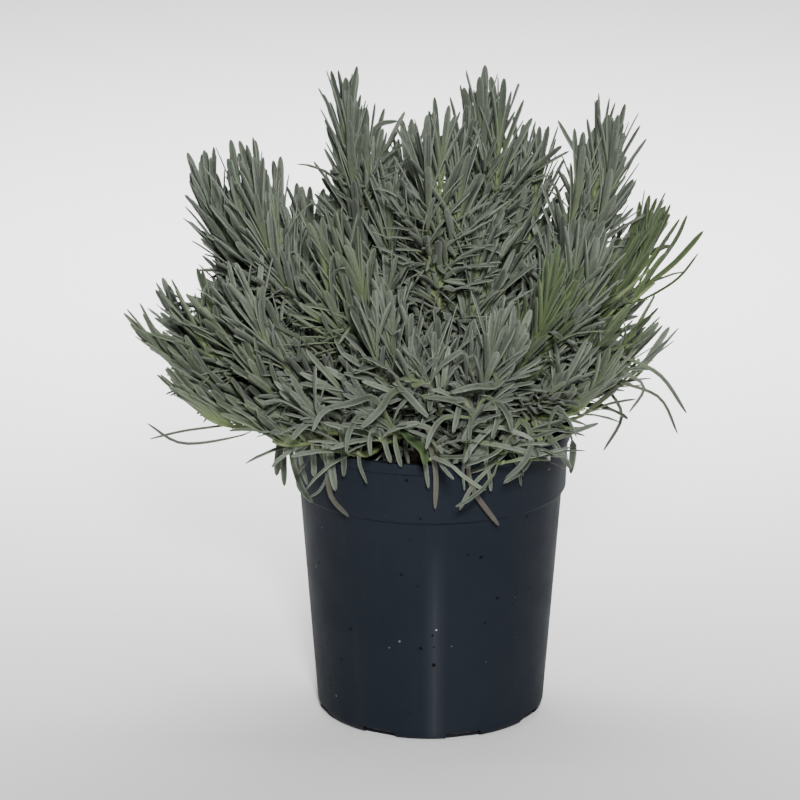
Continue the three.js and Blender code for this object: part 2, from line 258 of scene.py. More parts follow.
# Small leaves in the axils, in tufts or on short side shoots. The pitch and length of a side shoot's
# leaves change by the second value of their pair on the way to its end. The keys keep the draws apart.
TUFT_KEYS = 7
TUFT_START = 28.0
TUFT_MORE = 3.6
TUFT_MORE_START = 15.0
TUFT_MORE_REACH = 50.0
TUFT_LEAN = (0.25, 0.75)
TUFT_UPRIGHT = 1.2
TUFT_STRAY = 0.8
TUFT_LENGTH = (10.0, 22.0)
TUFT_LENGTH_REACH = 60.0
SIDE_SHOOT_KEYS = 13
SIDE_SHOOT_START = 50.0
SIDE_SHOOT_SHARE = 0.26
SIDE_SHOOT_REACH = (16.0, 26.0)
SIDE_SHOOT_STEP = 3.6
SIDE_SHOOT_RISE = 0.1
SIDE_SHOOT_ALONG = 0.9
SIDE_SHOOT_LEAN = (0.5, 0.5)
SIDE_SHOOT_STRAY = 0.3
SIDE_LEAF_TURN_RANGE = 50.0
SIDE_LEAF_PITCH = (52.0, -40.0)
SIDE_LEAF_PITCH_RANGE = 16.0
SIDE_LEAF_BEND_END = 1.2
SIDE_LEAF_LENGTH = (19.0, 10.0)

# The kinds of small leaves: their bend, size and width, how much they sway and twist, and which use each
# of these and the tint has in the draws
TUFT_LEAF = {
    "bend": (0.2, 1.7), "size": (0.6, 0.7), "width": (2.0, 1.1), "sway": 0.1, "twist": 1.0,
    "uses": (26, 25, 27, 28, 29, 30),
}
SIDE_LEAF = {
    "bend": (0.15, 0.7), "size": (0.8, 0.4), "width": (2.4, 0.9), "sway": 0.1, "twist": 0.8,
    "uses": (47, 48, 49, 50, 51, 52),
}
FALLEN_LEAF = {
    "bend": (0.3, 0.8), "size": (10.0, 16.0), "width": (1.8, 1.6), "sway": 0.3, "twist": 1.5,
    "uses": (4, 5, 6, 7, 8, 9),
}

# Leaves that would come down outside the rim are mostly left out, and all of them where the front's
# rim shows: the height that they stay above there, and across which stretch of the front. None reaches
# further to the front than FRONT_REACH.
RIM_REACH = 76.0
RIM_CLEARANCE = 190.0
RIM_LEAF_SHARE = 0.14
FRONT_REACH = 131.0
WALL_CLEARANCE = 1.5
WALL_TEST_SHARES = np.linspace(0, 1, 9)[:, None]
BARE_STRETCH = (-50.0, 2.0)
BARE_CLEARANCE = 209.0

# The places along a leaf where its section is set, and the section itself: across and height, in
# shares of the half width and in millimetres on a leaf of full width, from the left margin over the
# grooved upper face to the right margin and back under the rib.
LEAF_STATIONS = np.array([0.0, 0.13, 0.34, 0.6, 0.84, 0.94, 0.985])
LEAF_SECTION = np.array([(-1.0, -0.3), (-0.66, 0.24), (0.0, -0.12), (0.66, 0.24), (1.0, -0.3), (0.0, -0.8)])
LEAF_SWELL_END = 0.48
LEAF_NARROW_BASE = 0.44
LEAF_ROUNDING_START = 0.78
LEAF_TIP_DEPTH = 0.35
SINGLE_STATIONS = np.array([0.0, 0.06, 0.13, 0.2, 0.28, 0.36, 0.44, 0.52, 0.6, 0.68, 0.76, 0.84, 0.91, 0.97])
SMALL_STATIONS = np.array([0.0, 0.25, 0.52, 0.78, 0.94])
SMALL_SECTION = np.array([(-1.0, -0.15), (0.0, 0.3), (1.0, -0.15), (0.0, -0.6)])
FULL_WIDTH = 5.2

# Leaf colours: the darkest and the lightest leaf, the margins' painted highlight and the fresh base
LEAF_COLOURS = {
    "grey_leaf": ((0.05, 0.063, 0.045), (0.146, 0.172, 0.128), (0.205, 0.235, 0.185), (0.12, 0.16, 0.06)),
    "green_leaf": ((0.033, 0.053, 0.019), (0.076, 0.107, 0.044), (0.12, 0.155, 0.078), (0.07, 0.108, 0.028)),
    "deep_green_leaf": ((0.022, 0.042, 0.012), (0.04, 0.07, 0.02), (0.07, 0.11, 0.04), (0.07, 0.12, 0.03)),
    "fresh_leaf": ((0.044, 0.058, 0.034), (0.128, 0.158, 0.1), (0.18, 0.215, 0.152), (0.122, 0.165, 0.05)),
}

# Each shoot: where its highest leaf ends, and how far its tip leans out from upright in degrees.
SHOOTS = {
    "left_tall": ((-135, 20, 347), 6),
    "left_broad": ((-105, -20, 362), 4),
    "left_inner": ((-76, 50, 320), 4),
    "left_mast": ((-52, 15, 397), 2),
    "left_middle": ((-53, -60, 332), 3),
    "centre_left": ((-26, 0, 350), 2),
    "front_left_upper": ((-24, -78, 294), 4),
    "centre_fan": ((5, -32, 386), 0),
    "right_mast": ((32, 25, 395), 2),
    "right_of_mast": ((55, 42, 360), 3),
    "right_tall": ((101, 0, 382), 2),
    "right_inner": ((88, -42, 322), 6),
    "right_green": ((134, 36, 318), 14),
    "right_outer_green": ((158, 4, 302), 46),
    "right_side_green": ((138, -22, 266), 32),
    "front_green": ((72, -64, 306), 8),
    "front_right_upper": ((36, -84, 287), 6),
    "right_low": ((106, -62, 250), 20),
    "right_edge_low": ((120, -48, 224), 48),
    "left_edge": ((-180, -10, 254), 34),
    "left_edge_back": ((-163, 22, 266), 22),
    "left_edge_front": ((-150, -36, 245), 30),
    "left_low": ((-162, -56, 226), 46),
    "left_front": ((-112, -60, 256), 22),
    "left_front_inner": ((-80, -90, 240), 26),
    "left_front_low": ((-118, -92, 212), 56),
    "front_left_low": ((-56, -106, 214), 45),
    "front_left_star": ((-28, -104, 238), 28),
    "front_centre": ((-2, -94, 268), 12),
    "front_centre_low": ((4, -122, 218), 50),
    "front_right": ((28, -112, 246), 26),
    "front_right_low": ((56, -112, 220), 42),
    "right_front_low": ((84, -90, 214), 46),
    "back_left_tall": ((-104, 82, 326), 8),
    "back_left": ((-60, 106, 300), 12),
    "back_centre_tall": ((-14, 72, 352), 3),
    "back_centre": ((14, 118, 298), 14),
    "back_right_tall": ((54, 88, 336), 6),
    "back_right": ((98, 72, 322), 8),
    "back_right_edge": ((122, 104, 256), 28),
    "back_left_edge": ((-134, 92, 262), 26),
    "back_low_left": ((-76, 138, 228), 42),
    "back_low": ((-20, 148, 246), 34),
    "back_low_right": ((44, 144, 232), 40),
    "back_side_left": ((-160, 62, 222), 48),
    "back_side_right": ((148, 58, 236), 40),
}

# Shoots with greener leaves, and those with fresher ones
GREEN_SHOOTS = ("right_green", "right_outer_green", "right_side_green", "front_green")
FRESH_SHOOTS = (
    "left_edge", "left_low", "left_front", "left_edge_front", "left_front_low", "left_middle", "right_low",
    "right_edge_low", "left_side",
)

# Shoots that show as an open fan of long leaves on a nearly bare stem: how far below the tip their leaves
# stand dense and where they get few, and how few.
FAN_SHOOTS = (
    "left_edge", "left_edge_back", "left_edge_front", "left_low", "left_front", "left_front_low",
    "left_front_inner", "right_low",
)
FAN_DENSE = 12.0
FAN_DENSE_REACH = 20.0
FAN_BARE_START = 60.0
FAN_BARE_SHARE = 0.3
FAN_LEAF_GAIN = -1.0
FAN_UPWARD_PULL = 0.9

# How much wider or narrower than LEAF_SPREAD some shoots spread their leaves
SPREADING = {
    "centre_fan": 2.0, "right_mast": 1.2, "front_left_upper": 1.4, "front_right_upper": 1.4,
    "right_green": 0.7, "right_outer_green": 0.7,
}
FAN_SPREADING = 1.6
FILLING_SPREADING = 1.2

# Which share of its leaves a sparse shoot keeps
SPARSE_SHOOTS = {
    "right_outer_green": 0.1, "right_side_green": 0.28, "right_low": 0.75, "right_edge_low": 0.2,
    "back_side_right": 0.3,
}

# How loose a shoot is, from 0 for a tidy one to 1
LOOSE_SHOOTS = {
    "front_left_low": 0.8, "front_left_star": 0.6, "front_centre": 0.4, "front_centre_low": 1.0,
    "front_right": 0.8, "front_right_low": 1.0, "right_front_low": 0.9, "right_edge_low": 0.6,
    "left_front_low": 0.3, "left_front_inner": 0.2,
}

# Shoots that fill the bush between the others, given in the same way. They are the looser the lower
# they end, within FILLING_LOOSENESS.
FILLING_TIDY_HEIGHT = 272.0
FILLING_LOOSE_REACH = 60.0
FILLING_LOOSENESS = (0.15, 0.9)
FILLING_SHOOTS = {
    "left_upper": ((-84, 10, 306), 4),
    "left_outer": ((-118, 24, 292), 8),
    "left_side": ((-136, -22, 282), 12),
    "left_lower": ((-108, -46, 296), 8),
    "left_behind": ((-150, 0, 248), 30),
    "left_crown": ((-74, -44, 248), 12),
    "mast_left": ((-34, 34, 334), 3),
    "fan_left": ((-26, -40, 300), 3),
    "fan_front": ((6, -70, 272), 6),
    "fan_right": ((26, -22, 330), 3),
    "mast_right": ((74, 14, 308), 4),
    "right_upper": ((100, 26, 300), 6),
    "right_crown": ((58, -40, 270), 6),
    "right_lower": ((84, -44, 252), 12),
    "right_side": ((100, -12, 252), 12),
    "middle_left": ((-44, -66, 256), 14),
    "middle_right": ((28, -74, 252), 14),
    "rim_right": ((64, -86, 226), 34),
    "rim_left": ((-84, -66, 216), 40),
    "back_left_inner": ((-70, 64, 290), 8),
    "back_middle": ((-10, 44, 322), 2),
    "back_right_inner": ((62, 62, 300), 8),
}

# Single leaves: which way their upper face looks, and how light they are
SINGLE_FACING = (0.0, -0.8, 0.45)
SINGLE_TINT = 0.5
SINGLE_SEED = 900
SINGLE_ROOT_STEP = 10

# Leaves that hang over the rim in front: how far across and how high each passes, its width and how
# dry it is. They keep just outside the pot, and start at the nearest stem.
HANGING_GAP = 5.0
HANGING_LEAVES = (
    (((-61, 200), (-60, 180), (-57, 159)), 5.2, 0.0),
    (((-55, 202), (-52, 186), (-52, 169)), 3.8, 0.0),
    (((-64, 190), (-62, 176), (-59, 166)), 3.4, 0.1),
    (((-63, 178), (-60, 156), (-49, 145)), 3.2, 0.62),
    (((-84, 170), (-78, 154), (-71, 147)), 3.6, 0.1),
    (((-62, 172), (-66, 158), (-73, 150)), 2.2, 0.2),
    (((-78, 176), (-77, 166), (-74, 157)), 2.8, 0.1),
    (((-71, 184), (-70, 173), (-70, 164)), 3.8, 0.0),
    (((-24, 203), (-38, 199), (-43, 182), (-38, 167)), 2.4, 0.1),
    (((-28, 198), (-27, 192), (-24, 182)), 3.4, 0.15),
    (((-22, 200), (-21, 192), (-18, 180)), 3.4, 0.1),
    (((-5, 200), (-4, 184), (-2, 167)), 2.8, 0.3),
    (((-89, 186), (-92, 166), (-94, 148)), 5.0, 0.0),
    (((-85, 180), (-89, 164), (-89, 144)), 4.2, 0.1),
    (((-4, 204), (2, 180), (2, 154)), 3.4, 0.6),
    (((19, 188), (18, 177), (19, 165)), 2.8, 0.1),
    (((36, 180), (24, 168), (16, 153)), 2.6, 0.3),
    (((21, 184), (24, 166), (40, 141)), 3.2, 0.7),
    (((32, 184), (34, 174), (35, 163)), 3.0, 0.0),
    (((52, 204), (59, 189), (56, 176), (42, 167)), 4.2, 0.0),
    (((51, 186), (52, 172), (53, 163)), 2.2, 0.3),
    (((60, 203), (72, 185), (84, 161)), 5.4, 0.0),
    (((76, 196), (85, 178), (84, 158)), 4.4, 0.0),
    (((42, 206), (31, 192), (19, 179)), 5.2, 0.0),
    (((50, 200), (40, 184), (22, 176)), 4.2, 0.0),
    (((34, 208), (31, 196), (32, 184)), 4.6, 0.0),
)
GREEN_FRONT_LEAF = (((-18, 210), (-12, 204), (-5, 197), (-4, 188)), 6.0, 0.0)

# Leaves that arch down in front of the loose foliage above the rim, given in the same way, how far to
# the front they end and how much nearer to the middle they start
FRONT_SEED = 901
FRONT_DEPTH = 106.0
FRONT_DEPTH_RANGE = 20.0
FRONT_START_BACK = 20.0
FRONT_LEAVES = (
    (((45, 219), (35, 212), (24, 201), (18, 189)), 3.8, 0.0),
    (((52, 217), (58, 204), (53, 190), (42, 180)), 3.4, 0.0),
    (((45, 208), (38, 197), (19, 188)), 3.6, 0.0),
    (((-22, 237), (-30, 226), (-42, 214)), 4.4, 0.0),
    (((-34, 233), (-45, 231), (-59, 227)), 4.2, 0.0),
    (((-21, 242), (-12, 230), (-2, 219)), 4.2, 0.0),
    (((38, 239), (24, 238), (10, 234)), 4.0, 0.0),
    (((18, 230), (15, 221), (12, 208)), 3.8, 0.0),
    (((36, 230), (43, 224), (46, 213)), 3.8, 0.0),
    (((-7, 228), (-4, 219), (-7, 209)), 3.2, 0.0),
    (((31, 231), (38, 226), (37, 215), (34, 206)), 3.4, 0.0),
    (((24, 222), (22, 212), (17, 202)), 3.6, 0.1),
    (((8, 222), (0, 214), (-4, 202)), 3.2, 0.0),
    (((-40, 222), (-48, 212), (-50, 198)), 3.4, 0.0),
    (((-52, 226), (-64, 220), (-70, 208)), 3.4, 0.0),
    (((72, 222), (79, 215), (84, 204)), 3.0, 0.0),
    (((-30, 216), (-36, 206), (-36, 194)), 3.0, 0.1),
)

# Single leaves that stand out of the bush's outline: the points each passes, its width and dryness.
STRAY_LEAVES = (
    (((97, 0, 330), (84, 0, 353), (75, 0, 369)), 3.6, 0.25),
    (((-40, 15, 340), (-33, 15, 361), (-20, 15, 365)), 3.4, 0.0),
    (((-2, 0, 322), (-11, 0, 352), (-19, 0, 368)), 3.6, 0.0),
    (((84, 12, 300), (72, 18, 327), (63, 16, 304)), 2.2, 0.1),
    (((14, -62, 240), (36, -72, 226), (49, -74, 199)), 3.8, 0.0),
    (((112, -30, 232), (136, -34, 221), (153, -36, 197)), 2.6, 0.0),
    (((110, -28, 216), (136, -34, 207), (148, -36, 184)), 2.2, 0.35),
    (((108, -30, 224), (127, -34, 214), (118, -38, 198)), 2.0, 0.2),
    (((104, -30, 214), (114, -36, 196), (103, -38, 174)), 2.2, 0.1),
    (((-112, -36, 184), (-148, -44, 181), (-170, -48, 195)), 1.8, 0.4),
    (((-116, -30, 190), (-148, -38, 187), (-169, -42, 183)), 1.6, 0.3),
)
GREEN_STRAY_LEAVES = (
    (((124, 0, 264), (145, 0, 280), (163, -4, 302)), 3.6, 0.0),
    (((128, 4, 268), (146, 6, 292), (154, 8, 309)), 2.6, 0.1),
    (((122, -6, 258), (146, -8, 272), (160, -10, 290)), 2.8, 0.0),
)

# A leaf's course and look, and for a large one its place on the stem and the ways out and up from there
Leaf = namedtuple(
    "Leaf",
    "root heading bend_way bend length width sway twist tint dryness from_tip outward axis",
    defaults=(None, None, None),
)

# How a shoot grows, as habit_of tells
Habit = namedtuple("Habit", "loose spreading share dense dense_reach bare_start longer pull branches")


def chance(shoot, leaf, use):
    """The same number from 0 to 1 each time for the same shoot, leaf and use."""
    wave = math.sin(shoot * SHOOT_WEIGHT + leaf * LEAF_WEIGHT + use * USE_WEIGHT) * WAVE_SCALE
    return wave - math.floor(wave)


def stray(shoot, leaf, use):
    """Such a number from -0.5 to 0.5."""
    return chance(shoot, leaf, use) - 0.5


def stray_way(shoot, leaf, first_use):
    """Three numbers from -0.5 to 0.5 as a vector."""
    return np.array([stray(shoot, leaf, first_use + n) for n in range(3)])


def within(span, share):
    """A value at a share of a span, which is its least value and how much more it can be."""
    least, more = span
    return least + more * share


def drawn(span, shoot, leaf, use):
    """A value within a span by chance."""
    return within(span, chance(shoot, leaf, use))


def settle(distance, reach):
    """A number that starts at 0, rises quickly and levels off at 1."""
    return 1 - math.exp(-distance / reach)


def eased(share):
    """A share that leaves 0 and comes to 1 smoothly."""
    return share * share * (3 - 2 * share)


def unit(vector):
    return vector / np.linalg.norm(vector)


def units(rows):
    return rows / np.linalg.norm(rows, axis=1)[:, None]


def turned(first, second, turn):
    """The way that lies an angle from the first one towards the second, which is square to it."""
    return first * math.cos(turn) + second * math.sin(turn)


def square_to(heading, way):
    """The way, made square to a heading."""
    return unit(way - heading * way.dot(heading))


def lengths_along(points):
    """How far along a course each of its points is."""
    return np.concatenate([[0], np.cumsum(np.linalg.norm(np.diff(points, axis=0), axis=1))])


def places_along(lengths, points, along):
    """The places at some lengths along a course of points."""
    return np.stack([np.interp(along, lengths, points[:, n]) for n in range(3)], axis=-1)


def soil_height(x, y):
    mound = MOUND_HEIGHT * np.exp(-(x * x + y * y) / MOUND_RADIUS ** 2)
    lumps = np.sin(LUMP_WAVES[0] * x + LUMP_SHIFT) * np.cos(LUMP_WAVES[1] * y)
    ripples = RIPPLE_SHARE * np.sin(RIPPLE_WAVES[0] * x + RIPPLE_WAVES[1] * y)
    return SOIL_TOP + mound + LUMP_HEIGHT * (lumps + ripples)


def soil_place(radius, seed, index):
    """A place on the soil at a distance from its middle, on a side that is drawn by chance."""
    turn = 2 * math.pi * chance(seed, index, 2)
    x, y = radius * math.cos(turn), radius * math.sin(turn)
    return np.array([x, y, soil_height(x, y)])


# Stems


def standing_places():
    """Where each stem stands: nearer the middle than its tip, and clear of the other stems."""
    places = [np.array(tip[:2], float) * CROWN_SHARE for tip, _ in SHOOTS.values()]
    for _ in range(SPREAD_ROUNDS):
        for i, one in enumerate(places):
            for other in places[i + 1:]:
                apart = other - one
                gap = np.linalg.norm(apart)
                if gap < STEM_SPACING:
                    push = apart * (STEM_SPACING - gap) / (2 * gap)
                    other += push
                    one -= push
    return places


class Stem:
    """A stem's course by length, and the way in which it leaves the pot's middle."""

    def __init__(self, points, out):
        self.points = points
        self.out = out
        self.lengths = lengths_along(points)
        self.length = self.lengths[-1]

    def at(self, share):
        """The point, heading, side and back of the stem at a share of its length."""
        along = np.clip(share, 0, 1) * self.length
        near = np.clip(np.searchsorted(self.lengths, along), 1, len(self.points) - 1)
        heading = unit(self.points[near] - self.points[near - 1])
        side = np.cross(self.out, UP)
        return places_along(self.lengths, self.points, along), heading, side, np.cross(heading, side)

    def branch(self, number, index):
        """A side stem that forks off below the tip and rises beside this one to end a little lower."""
        start = self.length - min(FORK_DEPTH, FORK_SHARE * self.length)
        along = np.linspace(start, self.length - BRANCH_DROPS[index], BRANCH_SAMPLES + 1)
        _, heading, side, back = self.at(1)
        turn = math.radians(BRANCH_TURN * index + BRANCH_TURN_RANGE * chance(number, index, 70))
        offset = turned(side, back, turn) * BRANCH_OFFSET * (1 - LEANING_TAKES * (1 - heading[2]))
        risen = eased(np.clip((along - start) / BRANCH_RISE, 0, 1))[:, None]
        return Stem(places_along(self.lengths, self.points, along) + offset * risen, self.out)


def shoot_stem(tip, lean, place):
    """A shoot's stem: straight up out of the soil, out over the rim and up or over to its tip."""
    tip = np.array(tip, float)
    foot = np.array([*place, soil_height(*place) + STEM_COLLAR])
    out = unit((tip - foot) * (1, 1, 0))
    heading = turned(UP, out, math.radians(lean))
    end = tip - heading * LEAF_OVERTOP
    span = np.linalg.norm(end - foot)
    rise = foot + UP * span * FOOT_RISE + out * span * FOOT_LEAN
    approach = end - heading * span * TIP_STRAIGHT
    t = np.linspace(0, 1, CURVE_SAMPLES + 1)[:, None]
    lower_part = foot * (1 - t) ** 3 + 3 * rise * t * (1 - t) ** 2
    return Stem(lower_part + 3 * approach * t ** 2 * (1 - t) + end * t ** 3, out)


def grown_stems():
    """The stem of each shoot by its name, with those that fill the bush last."""
    stems = {}
    for (name, (tip, lean)), place in zip(SHOOTS.items(), standing_places()):
        stems[name] = shoot_stem(tip, lean, place)
    for name, (tip, lean) in FILLING_SHOOTS.items():
        stems[name] = shoot_stem(tip, lean, np.array(tip[:2]) * CROWN_SHARE)
    return stems


# Meshes


def linked(name, data):
    """A new object in the scene."""
    made = bpy.data.objects.new(name, data)
    bpy.context.scene.collection.objects.link(made)
    return made


def mesh_object(name, points, faces, material):
    """An object of points in millimetres and faces, with smooth shading."""
    mesh = bpy.data.meshes.new(name)
    mesh.from_pydata((np.asarray(points) * MM).tolist(), [], faces)
    mesh.update()
    for polygon in mesh.polygons:
        polygon.use_smooth = True
    mesh.materials.append(material)
    return linked(name, mesh)


def bmesh_object(name, bm):
    """An object of a bmesh, which is used up."""
    mesh = bpy.data.meshes.new(name)
    bm.to_mesh(mesh)
    bm.free()
    return linked(name, mesh)


def ring_faces(rings, sides):
    """The quads between rings of points, and the fans to a point at each end that follow them."""
    faces = []
    for ring in range(rings - 1):
        for side in range(sides):
            a = ring * sides + side
            b = ring * sides + (side + 1) % sides
            faces.append((a, b, b + sides, a + sides))
    start = rings * sides
    last = (rings - 1) * sides
    for side in range(sides):
        faces.append((start, (side + 1) % sides, side))
        faces.append((start + 1, last + side, last + (side + 1) % sides))
    return faces


class Blades:
    """Leaves gathered as arrays, to be made into one mesh. Each is a closed thin solid."""

    def __init__(self, stations, section):
        self.stations = stations
        self.section = section
        faces = ring_faces(len(stations), len(section))
        self.faces = np.array([face + (face[-1],) * (4 - len(face)) for face in faces])
        self.points = []
        self.marks = []

    def add(self, centres, sides, ups, width, tint, dryness):
        """Adds a leaf from its centre line, which has one place more than the stations: its tip. Its
        points are marked with their place across and along, and with its tint and dryness."""
        t = self.stations
        swell = LEAF_NARROW_BASE + (1 - LEAF_NARROW_BASE) * eased(np.clip(t / LEAF_SWELL_END, 0, 1))
        end = np.sqrt(1 - np.clip((t - LEAF_ROUNDING_START) / (1 - LEAF_ROUNDING_START), 0, 1) ** 2)
        half = 0.5 * width * swell * end
        depth = width / FULL_WIDTH * (LEAF_TIP_DEPTH + (1 - LEAF_TIP_DEPTH) * end)
        across, height = (self.section[:, n][None, :, None] for n in (0, 1))
        body = centres[:-1, None] + sides[:-1, None] * across * half[:, None, None]
        body = body + ups[:-1, None] * height * depth[:, None, None]
        self.points.append(np.concatenate([body.reshape(-1, 3), centres[:1], centres[-1:]]))
        marks = np.empty((len(t), len(self.section), 4))
        marks[..., 0] = np.abs(self.section[:, 0])[None, :]
        marks[..., 1] = t[:, None]
        marks[..., 2] = tint
        marks[..., 3] = dryness
        ends = [(0, 0, tint, dryness), (0, 1, tint, dryness)]
        self.marks.append(np.concatenate([marks.reshape(-1, 4), ends]))

    def add_arc(self, leaf):
        """Adds a leaf that bends along an arc, sways sideways and twists."""
        t = np.append(self.stations, 1.0)[:, None]
        turn, twist = leaf.bend * t, leaf.twist * t
        side = np.cross(leaf.bend_way, leaf.heading)
        ups = np.sin(turn) * leaf.heading - np.cos(turn) * leaf.bend_way
        sides = side * np.cos(twist) + ups * np.sin(twist)
        ups = ups * np.cos(twist) - side * np.sin(twist)
        self.add(arc(leaf, t), sides, ups, leaf.width, leaf.tint, leaf.dryness)

    def add_course(self, points, face, width, tint, dryness):
        """Adds a leaf along a smooth course through a few points, with its upper side towards face."""
        centres = smooth_course(points, np.append(self.stations, 1.0))
        headings = units(np.gradient(centres, axis=0))
        sides = units(np.cross(headings, face))
        self.add(centres, sides, np.cross(sides, headings), width, tint, dryness)


def arc(leaf, t):
    """Places along a leaf's arc, for shares of its length in a column."""
    turn = leaf.bend * t
    side = np.cross(leaf.bend_way, leaf.heading)
    bow = np.sin(turn) * leaf.heading + (1 - np.cos(turn)) * leaf.bend_way
    return leaf.root + leaf.length * (bow / leaf.bend + side * leaf.sway * t ** 2)


def smooth_course(points, shares):
    """Places at shares of the length of a smooth curve that passes through a few points."""
    points = np.array(points, float)
    padded = np.vstack([2 * points[0] - points[1], points, 2 * points[-1] - points[-2]])
    place = np.linspace(0, len(points) - 1, COURSE_SAMPLES)
    start = np.minimum(place.astype(int), len(points) - 2)
    t = (place - start)[:, None]
    a, b, c, d = (padded[start + n] for n in range(4))
    curve = b + 0.5 * ((c - a) * t + (2 * a - 5 * b + 4 * c - d) * t ** 2 + (3 * b - 3 * c + d - a) * t ** 3)
    lengths = lengths_along(curve)
    return places_along(lengths, curve, shares * lengths[-1])


def blades_object(name, groups, material):
    """One object of all the leaves in several gatherings."""
    points, faces, marks, start = [], [], [], 0
    for group in groups:
        for leaf_points in group.points:
            faces.append(group.faces + start)
            start += len(leaf_points)
        points += group.points
        marks += group.marks
    listed = [tuple(dict.fromkeys(face)) for face in np.concatenate(faces).tolist()]
    made = mesh_object(name, np.concatenate(points), listed, material)
    attribute = made.data.color_attributes.new(name="leaf", type="FLOAT_COLOR", domain="POINT")
    attribute.data.foreach_set("color", np.concatenate(marks).ravel())
    return made


# Leaves of a shoot


def habit_of(name):
    """How a shoot grows: how loose it is, how much its leaves spread, which share of them it keeps, how
    far below its tip they get dense, less dense and few, how much longer they are, how much they turn
    up, and how many side stems it has."""
    share = SPARSE_SHOOTS.get(name, 1.0)
    loose = LOOSE_SHOOTS.get(name, 0.0)
    if name in FAN_SHOOTS:
        growth = (FAN_DENSE, FAN_DENSE_REACH, FAN_BARE_START, FAN_LEAF_GAIN, FAN_UPWARD_PULL, 0)
        return Habit(loose, SPREADING.get(name, FAN_SPREADING), share, *growth)
    spreading = SPREADING.get(name, 1.0)
    if name in FILLING_SHOOTS:
        loose, spreading = filling_looseness(name), FILLING_SPREADING
    pull = UPWARD_PULL * (1 - loose) / spreading ** 2
    branches = 1 if loose > LOOSE_HAS_ONE_BRANCH else len(BRANCH_DROPS)
    return Habit(loose, spreading, share, DENSE_START, DENSE_REACH, math.inf, 0.0, pull, branches)


def filling_looseness(name):
    """Filling shoots are the looser the lower they end."""
    (_, _, height), _ = FILLING_SHOOTS[name]
    least, most = FILLING_LOOSENESS
    return min(most, max(least, (FILLING_TIDY_HEIGHT - height) / FILLING_LOOSE_REACH))


def main_leaf(number, stem, leaf, twin, habit):
    """A leaf of an opposite pair. Its place and turn follow the rules of the solids' leaves, and broken
    numbers give the pairs between those. It turns up a little towards the light."""
    key = leaf + TWIN_KEY * twin
    loose = habit.loose
    from_tip = TIP_DROP + LEAF_STEP * leaf * leaf / (leaf + LEAF_TIP_CROWDING)
    mess = max(loose, LOWER_LOOSENESS * settle(max(0.0, from_tip - LOOSENESS_START), LOOSENESS_REACH))
    vary = {use: TIDY[use] + LOOSER[use] * mess for use in TIDY}
    point, axis, side, back = stem.at(max(0.0, 1 - from_tip / stem.length))
    around = FIRST_LEAF_TURN + LEAF_TURN * (leaf + number) + 180 * twin
    outward = turned(side, back, math.radians(around + LEAF_AZIMUTH_RANGE * stray(number, key, 1)))
    spread = habit.spreading * (LEAF_SPREAD + LEAF_SPREAD_RANGE * chance(number, 0, 6))
    pitch = LEAF_PITCH_AT_TIP + spread * settle(from_tip, LEAF_SPREAD_REACH) ** LEAF_SPREAD_ONSET
    heading = turned(axis, outward, math.radians(pitch + vary["pitch"] * stray(number, key, 2)))
    heading = unit(heading + UP * habit.pull * (1 - heading[2]))
    down = DOWNWARD_BEND + LOOSE_DOWNWARD_GAIN * loose
    bend_way = square_to(heading, outward * (OUTWARD_BEND - LOOSE_OUTWARD_LOSS * loose) - UP * down)
    roll = math.radians(vary["roll"] * stray(number, key, 12))
    bend = LEAF_BEND_AT_TIP + LEAF_BEND_GAIN * habit.spreading ** 2 * settle(from_tip, LEAF_BEND_REACH)
    bend += LOOSE_BEND * loose + vary["bend"] * stray(number, key, 3)
    if from_tip > 2 * LEAF_STEP and chance(number, key, 13) < vary["arch"]:
        bend += LEAF_ARCH
    bend = math.radians(bend)
    length = LEAF_LENGTH_AT_TIP + LEAF_LENGTH_GAIN * settle(from_tip, LEAF_LENGTH_REACH)
    length += LOOSE_LENGTH * loose + habit.longer * min(1.0, from_tip / LEAF_LENGTH_REACH)
    return Leaf(
        root=point,
        heading=heading,
        bend_way=turned(bend_way, np.cross(heading, bend_way), roll),
        bend=bend if abs(bend) > LEAST_BEND else LEAST_BEND,
        length=length * (1 + vary["size"] * stray(number, key, 4)),
        width=LEAF_WIDTH * (1 - LEAF_NARROWING * mess) * (1 + LEAF_WIDTH_RANGE * stray(number, key, 5)),
        sway=vary["sway"] * stray(number, key, 8),
        twist=vary["twist"] * stray(number, key, 9),
        tint=chance(number, key, 10) * painted_shade_lightness(point, from_tip, loose),
        dryness=dryness_at(number, key, point),
        from_tip=from_tip,
        outward=outward,
        axis=axis,
    )


def painted_shade_lightness(point, from_tip, loose):
    """The share of its lightness that a leaf keeps under painted shade: on tidy shoots the leaves further
    below the tip are darker, and so are those at the top of the bush."""
    # Painted shade: darker further down a tidy stem, and darker near the top of the bush.
    old = LOW_LEAF_PAINTED_SHADE * (1 - loose) * settle(from_tip, LOW_LEAF_SHADE_REACH)
    high = min(1.0, max(0.0, (point[2] - HIGH_LEAF_SHADE_START) / HIGH_LEAF_SHADE_REACH))
    return (1 - old) * (1 - HIGH_LEAF_PAINTED_SHADE * high)


def dryness_at(number, key, point):
    """Leaves near the soil's middle are often dry, and higher and outer ones never."""
    away = math.hypot(point[0], point[1])
    old = max(0.0, 1 - (point[2] - POT_HEIGHT) / DRY_REACH - away / DRY_RADIUS)
    return min(1.0, max(0.0, DRY_CONTRAST * old * chance(number, key, 11) - DRY_THRESHOLD))


def small_leaf(kind, seed, index, root, heading, bend_way, length=1.0, bending=1.0, dryness=0.0):
    """A leaf of one of the small kinds, with what its kind leaves to chance."""
    bend, size, width, sway, twist, tint = (chance(seed, index, use) for use in kind["uses"])
    return Leaf(
        root=root,
        heading=heading,
        bend_way=bend_way,
        bend=within(kind["bend"], bend * bending),
        length=length * within(kind["size"], size),
        width=within(kind["width"], width),
        sway=kind["sway"] * (sway - 0.5),
        twist=kind["twist"] * (twist - 0.5),
        tint=tint,
        dryness=dryness,
    )


